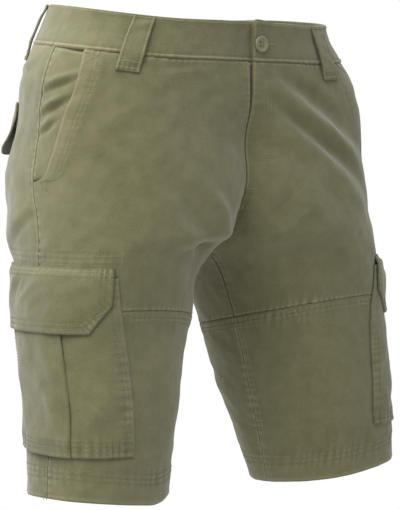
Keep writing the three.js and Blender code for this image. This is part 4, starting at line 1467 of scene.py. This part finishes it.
def makeBackFlap(sideName, side):
    half = backFlap["half"]
    across = fromBothEdges(np.concatenate([spread(0, 11, 1), spread(13, half, 2.6)[:-1]]), half)
    down = np.concatenate([spread(0, 0.2, 0.02), spread(0.25, 0.75, 0.05), spread(0.78, 1, 0.018)])
    away = down[:, None]
    arc = backFlap["center"] + across[None, :] * (half - backFlap["chamfer"] * away ** 3)
    top = settle(np.zeros_like(arc), lambda z: bandBottomAt(side, z, arc)) - backFlap["drop"]
    depth = backFlapDepth(across[None, :])
    z = top - away * depth
    fromEdge = np.minimum((1 - np.abs(across[None, :])) * half, (1 - away) * depth)
    fromTop = away * depth
    seed = 91 + side
    sewing = roll(fromTop) + roll(fromEdge)
    sewing += grooves(fromTop, backFlap["topRows"]) + grooves(fromEdge, backFlap["edgeRows"])
    sewing += pucker(fromTop - 4, arc, 0.24, 7, 7, seed)
    sewing += pucker(fromEdge - 4, arc + z, 0.22, 7, 8, seed + 1)
    relief = sewing + 0.35 * ripple(arc, z, 40, 95 + side) * smoothstep(fromEdge, 2, 16)
    relief = np.maximum(relief, -1.6)
    lift = 1.7 + backFlap["flare"] * away ** 1.6
    wall = flap["thickness"] / 2
    outer = panelPoint(side, z, arc, lift + wall + relief)
    inner = panelPoint(side, z, arc, lift - wall + 0.3 * relief)
    rows = backFlapStitches(across, down, outer, inner)
    sewnPiece(f"back_flap_{sideName}", outer, inner, np.stack([arc, z], -1), sewing, rows)


for sideName, side in sides:
    makeBackFlap(sideName, side)
print("back flaps ready")

# Belt loops, sewn down at both ends and clear of the band between them

loops = {
    "belt_loop_front_right": (0.281, 0.012),    # turn round the waist, and lean to its lower end
    "belt_loop_front_left": (2 - 0.228, 0),
    "belt_loop_back_right": (0.635, 0),
    "belt_loop_back_left": (2 - 0.635, 0),
    "belt_loop_center_back": (1, 0),
}
loop = {
    "width": 23,
    "thickness": 1.6,
    "down": np.array([0.6, 4, 11, 24, 38, 47, 52, 57.0]),
    "lift": np.array([1.2, 1.5, 3.4, 4, 3.6, 2, 0.9, 0.9]),
    "row": 3,
    "bars": (2.6, 48, 54),
}


def loopStitches(across, down, outer, inner):
    columnAt = lambda value: np.interp(value, across, np.arange(len(across)))
    rowAt = lambda value: np.interp(value, down, np.arange(len(down)))
    edge = loop["width"] / 2 - loop["row"]
    line = rowAt(spread(2, 55, 1.5))
    rows = [lineOn(outer, inner, line, columnAt(sign * edge)) for sign in (-1, 1)]
    for middle in loop["bars"]:
        for place in np.arange(-edge, edge, 0.6):
            rows.append(lineOn(outer, inner, rowAt(middle + np.array([-1, 0, 1])), columnAt(place)))
    return rows


def makeLoop(name, middle, lean):
    half = loop["width"] / 2
    across = np.concatenate([
        spread(-half, 3.5 - half, 0.6), spread(5 - half, half - 5, 1.5), spread(half - 3.5, half, 0.6),
    ])
    down = np.concatenate([[0.6, 1.0], spread(1.6, 56, 1.3), [56.6, 57]])
    away = down[:, None]
    turn = middle + lean * away / 57 + across[None, :] / halfGirth
    fromSide = half - np.abs(across[None, :]) + 0 * away
    fromEnd = 57 - away + 0 * fromSide
    seed = 100 * middle
    sewing = roll(fromSide, 0.6, 0.8, 0.4) + grooves(fromSide, (loop["row"],), 0.3, 0.8)
    sewing += grooves(fromEnd, (2, 5.5), 0.4, 1) + roll(fromEnd, 0.5, 0.8)
    sewing += pucker(fromEnd - 3, across[None, :], 0.3, 5, 5, seed)
    relief = np.maximum(sewing + 0.3 * ripple(across[None, :], away, 17, int(seed)), -1.2)
    lift = sum(np.interp(away + step, loop["down"], loop["lift"]) for step in (-2, 0, 2)) / 3
    top = girthTop(turn)
    outer = girthPoint(turn, top - away, lift + loop["thickness"] + relief)
    inner = girthPoint(turn, top - away, lift + 0.2 * relief)
    uv = np.stack(np.broadcast_arrays(across[None, :], -away), -1)
    sewnPiece(name, outer, inner, uv, sewing, loopStitches(across, down, outer, inner))


for name, (middle, lean) in loops.items():
    makeLoop(name, middle, lean)
print("belt loops ready")

# Button: a turned profile with a raised rim and a dished middle, sewn through four holes

button = {
    "radius": (4.6, 5.4, 6.0, 6.5, 7.4, 8.1, 8.5, 8.5, 8.1, 7.4, 0),
    "height": (2.0, 2.4, 2.9, 3.1, 3.15, 2.95, 2.5, 1.0, 0.4, 0.1, 0),
    "dish": 1.9,
    "hole": 1.0,
    "spacing": 3.6,
    "pit": 1.5,         # as deep as the holes are seen
    "segments": 64,
}


# A profile turned round the button's axis: four holes sink in its dish, each a smooth step of the
# distance to the hole's middle
def makeButton():
    z = seams["waistFront"] - buttonPlace["below"]
    turn = 2 - buttonPlace["fromMiddle"] / halfGirth
    seat = girthPoint(turn, z, waistband["lift"] + buttonPlace["gap"])
    out = girthPoint(turn, z, waistband["lift"] + 10) - seat
    out /= np.linalg.norm(out)
    right = np.cross([0, 0, 1], out)
    right /= np.linalg.norm(right)
    up = np.cross(out, right)
    place = lambda x, y, height: seat + x[..., None] * right + y[..., None] * up + height[..., None] * out
    angle = np.linspace(0, 2 * pi, button["segments"], endpoint=False)
    dishRadius = spread(0, button["radius"][0], 0.23)
    dishHeight = mix(button["dish"], button["height"][0], (dishRadius / dishRadius[-1]) ** 2)
    r = np.concatenate([dishRadius, button["radius"][1:]])[:, None]
    h = np.concatenate([dishHeight, button["height"][1:]])[:, None]
    x, y = r * np.cos(angle), r * np.sin(angle)
    fromHole = np.hypot(np.abs(x) - button["spacing"] / 2, np.abs(y) - button["spacing"] / 2)
    inDish = np.arange(len(r))[:, None] < len(dishRadius)
    pits = button["pit"] * (1 - smoothstep(fromHole, button["hole"] - 0.25, button["hole"] + 0.1))
    points = place(x, y, h - pits * inDish)
    faces = ringFaces(*points.shape[:2]).tolist()
    piece = meshObject("button_turned", points.reshape(-1, 3), faces, buttonPlastic)
    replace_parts(ridePiece(piece), "button")
    half = button["spacing"] / 2
    rows = []
    for level in (-half, half):
        for strand in (-0.45, 0, 0.45):
            ends = np.array([-half - 0.3, 0, half + 0.3])
            path = place(ends, np.full(3, level + strand), np.array([2.0, 2.5, 2.0]))
            rows.append((path, np.tile(out, (3, 1))))
    stitchMesh("stitches_button", rows)


makeButton()
print("button ready")

# Floor and lights

stageLook = {"floor": -0.98, "radius": 1.8, "tone": "#F2F1EE"}


# Round floor: rings of points about the origin, all at one height
def makeStage():
    material, tree, shader = newMaterial("painted-studio-floor")
    shader.inputs["Base Color"].default_value = linear(stageLook["tone"])
    shader.inputs["Roughness"].default_value = 0.9
    angle = np.linspace(0, 2 * pi, 96, endpoint=False)
    radius = spread(0, stageLook["radius"], 0.3)[:, None]
    rings = np.broadcast_arrays(radius * np.cos(angle), radius * np.sin(angle), stageLook["floor"])
    points = np.stack(rings, -1) / mm
    faces = ringFaces(*points.shape[:2]).tolist()
    meshObject("studio_floor", points.reshape(-1, 3), faces, material)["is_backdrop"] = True


# Soft boxes: azimuth is degrees from the camera, positive to its right
lights = {
    "key_left": {"azimuth": -75, "up": 50, "away": 0.9, "size": 0.6, "power": 7.7},
    "front_soft": {"azimuth": -35, "up": 40, "away": 1.8, "size": 1.2, "power": 28.3},
    "front_high": {"azimuth": -5, "up": 62, "away": 1.5, "size": 1, "power": 8.7},
}


def makeLights():
    target = np.array([0, -0.02, -0.24])
    for name, light in lights.items():
        data = bpy.data.lights.new(name, "AREA")
        data.shape = "SQUARE"
        data.size = light["size"]
        data.energy = light["power"]
        lamp = bpy.data.objects.new(name, data)
        bearing = radians(view["azimuth"] + 180 - light["azimuth"])
        up = radians(light["up"])
        level = np.cos(up)
        away = np.array([np.sin(bearing) * level, np.cos(bearing) * level, np.sin(up)])
        lamp.location = target + light["away"] * away
        lamp.rotation_euler = (radians(90) - up, 0, -bearing + pi)
        bpy.context.scene.collection.objects.link(lamp)
    world = bpy.data.worlds.new("studio")
    world.use_nodes = True
    world.node_tree.nodes["Background"].inputs["Color"].default_value = (1, 1, 1, 1)
    world.node_tree.nodes["Background"].inputs["Strength"].default_value = 1     # white all round
    bpy.context.scene.world = world
    bpy.context.scene.view_settings.view_transform = "Standard"     # so the cloth keeps its own colour


makeStage()
makeLights()
print("stage ready")

for name, size in sheets.items():
    print("cut", name, *size)

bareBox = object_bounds()
toList = lambda box: [[float(v) for v in corner] for corner in box]
{"cad": toList(cadBox), "visual": toList(bareBox)}
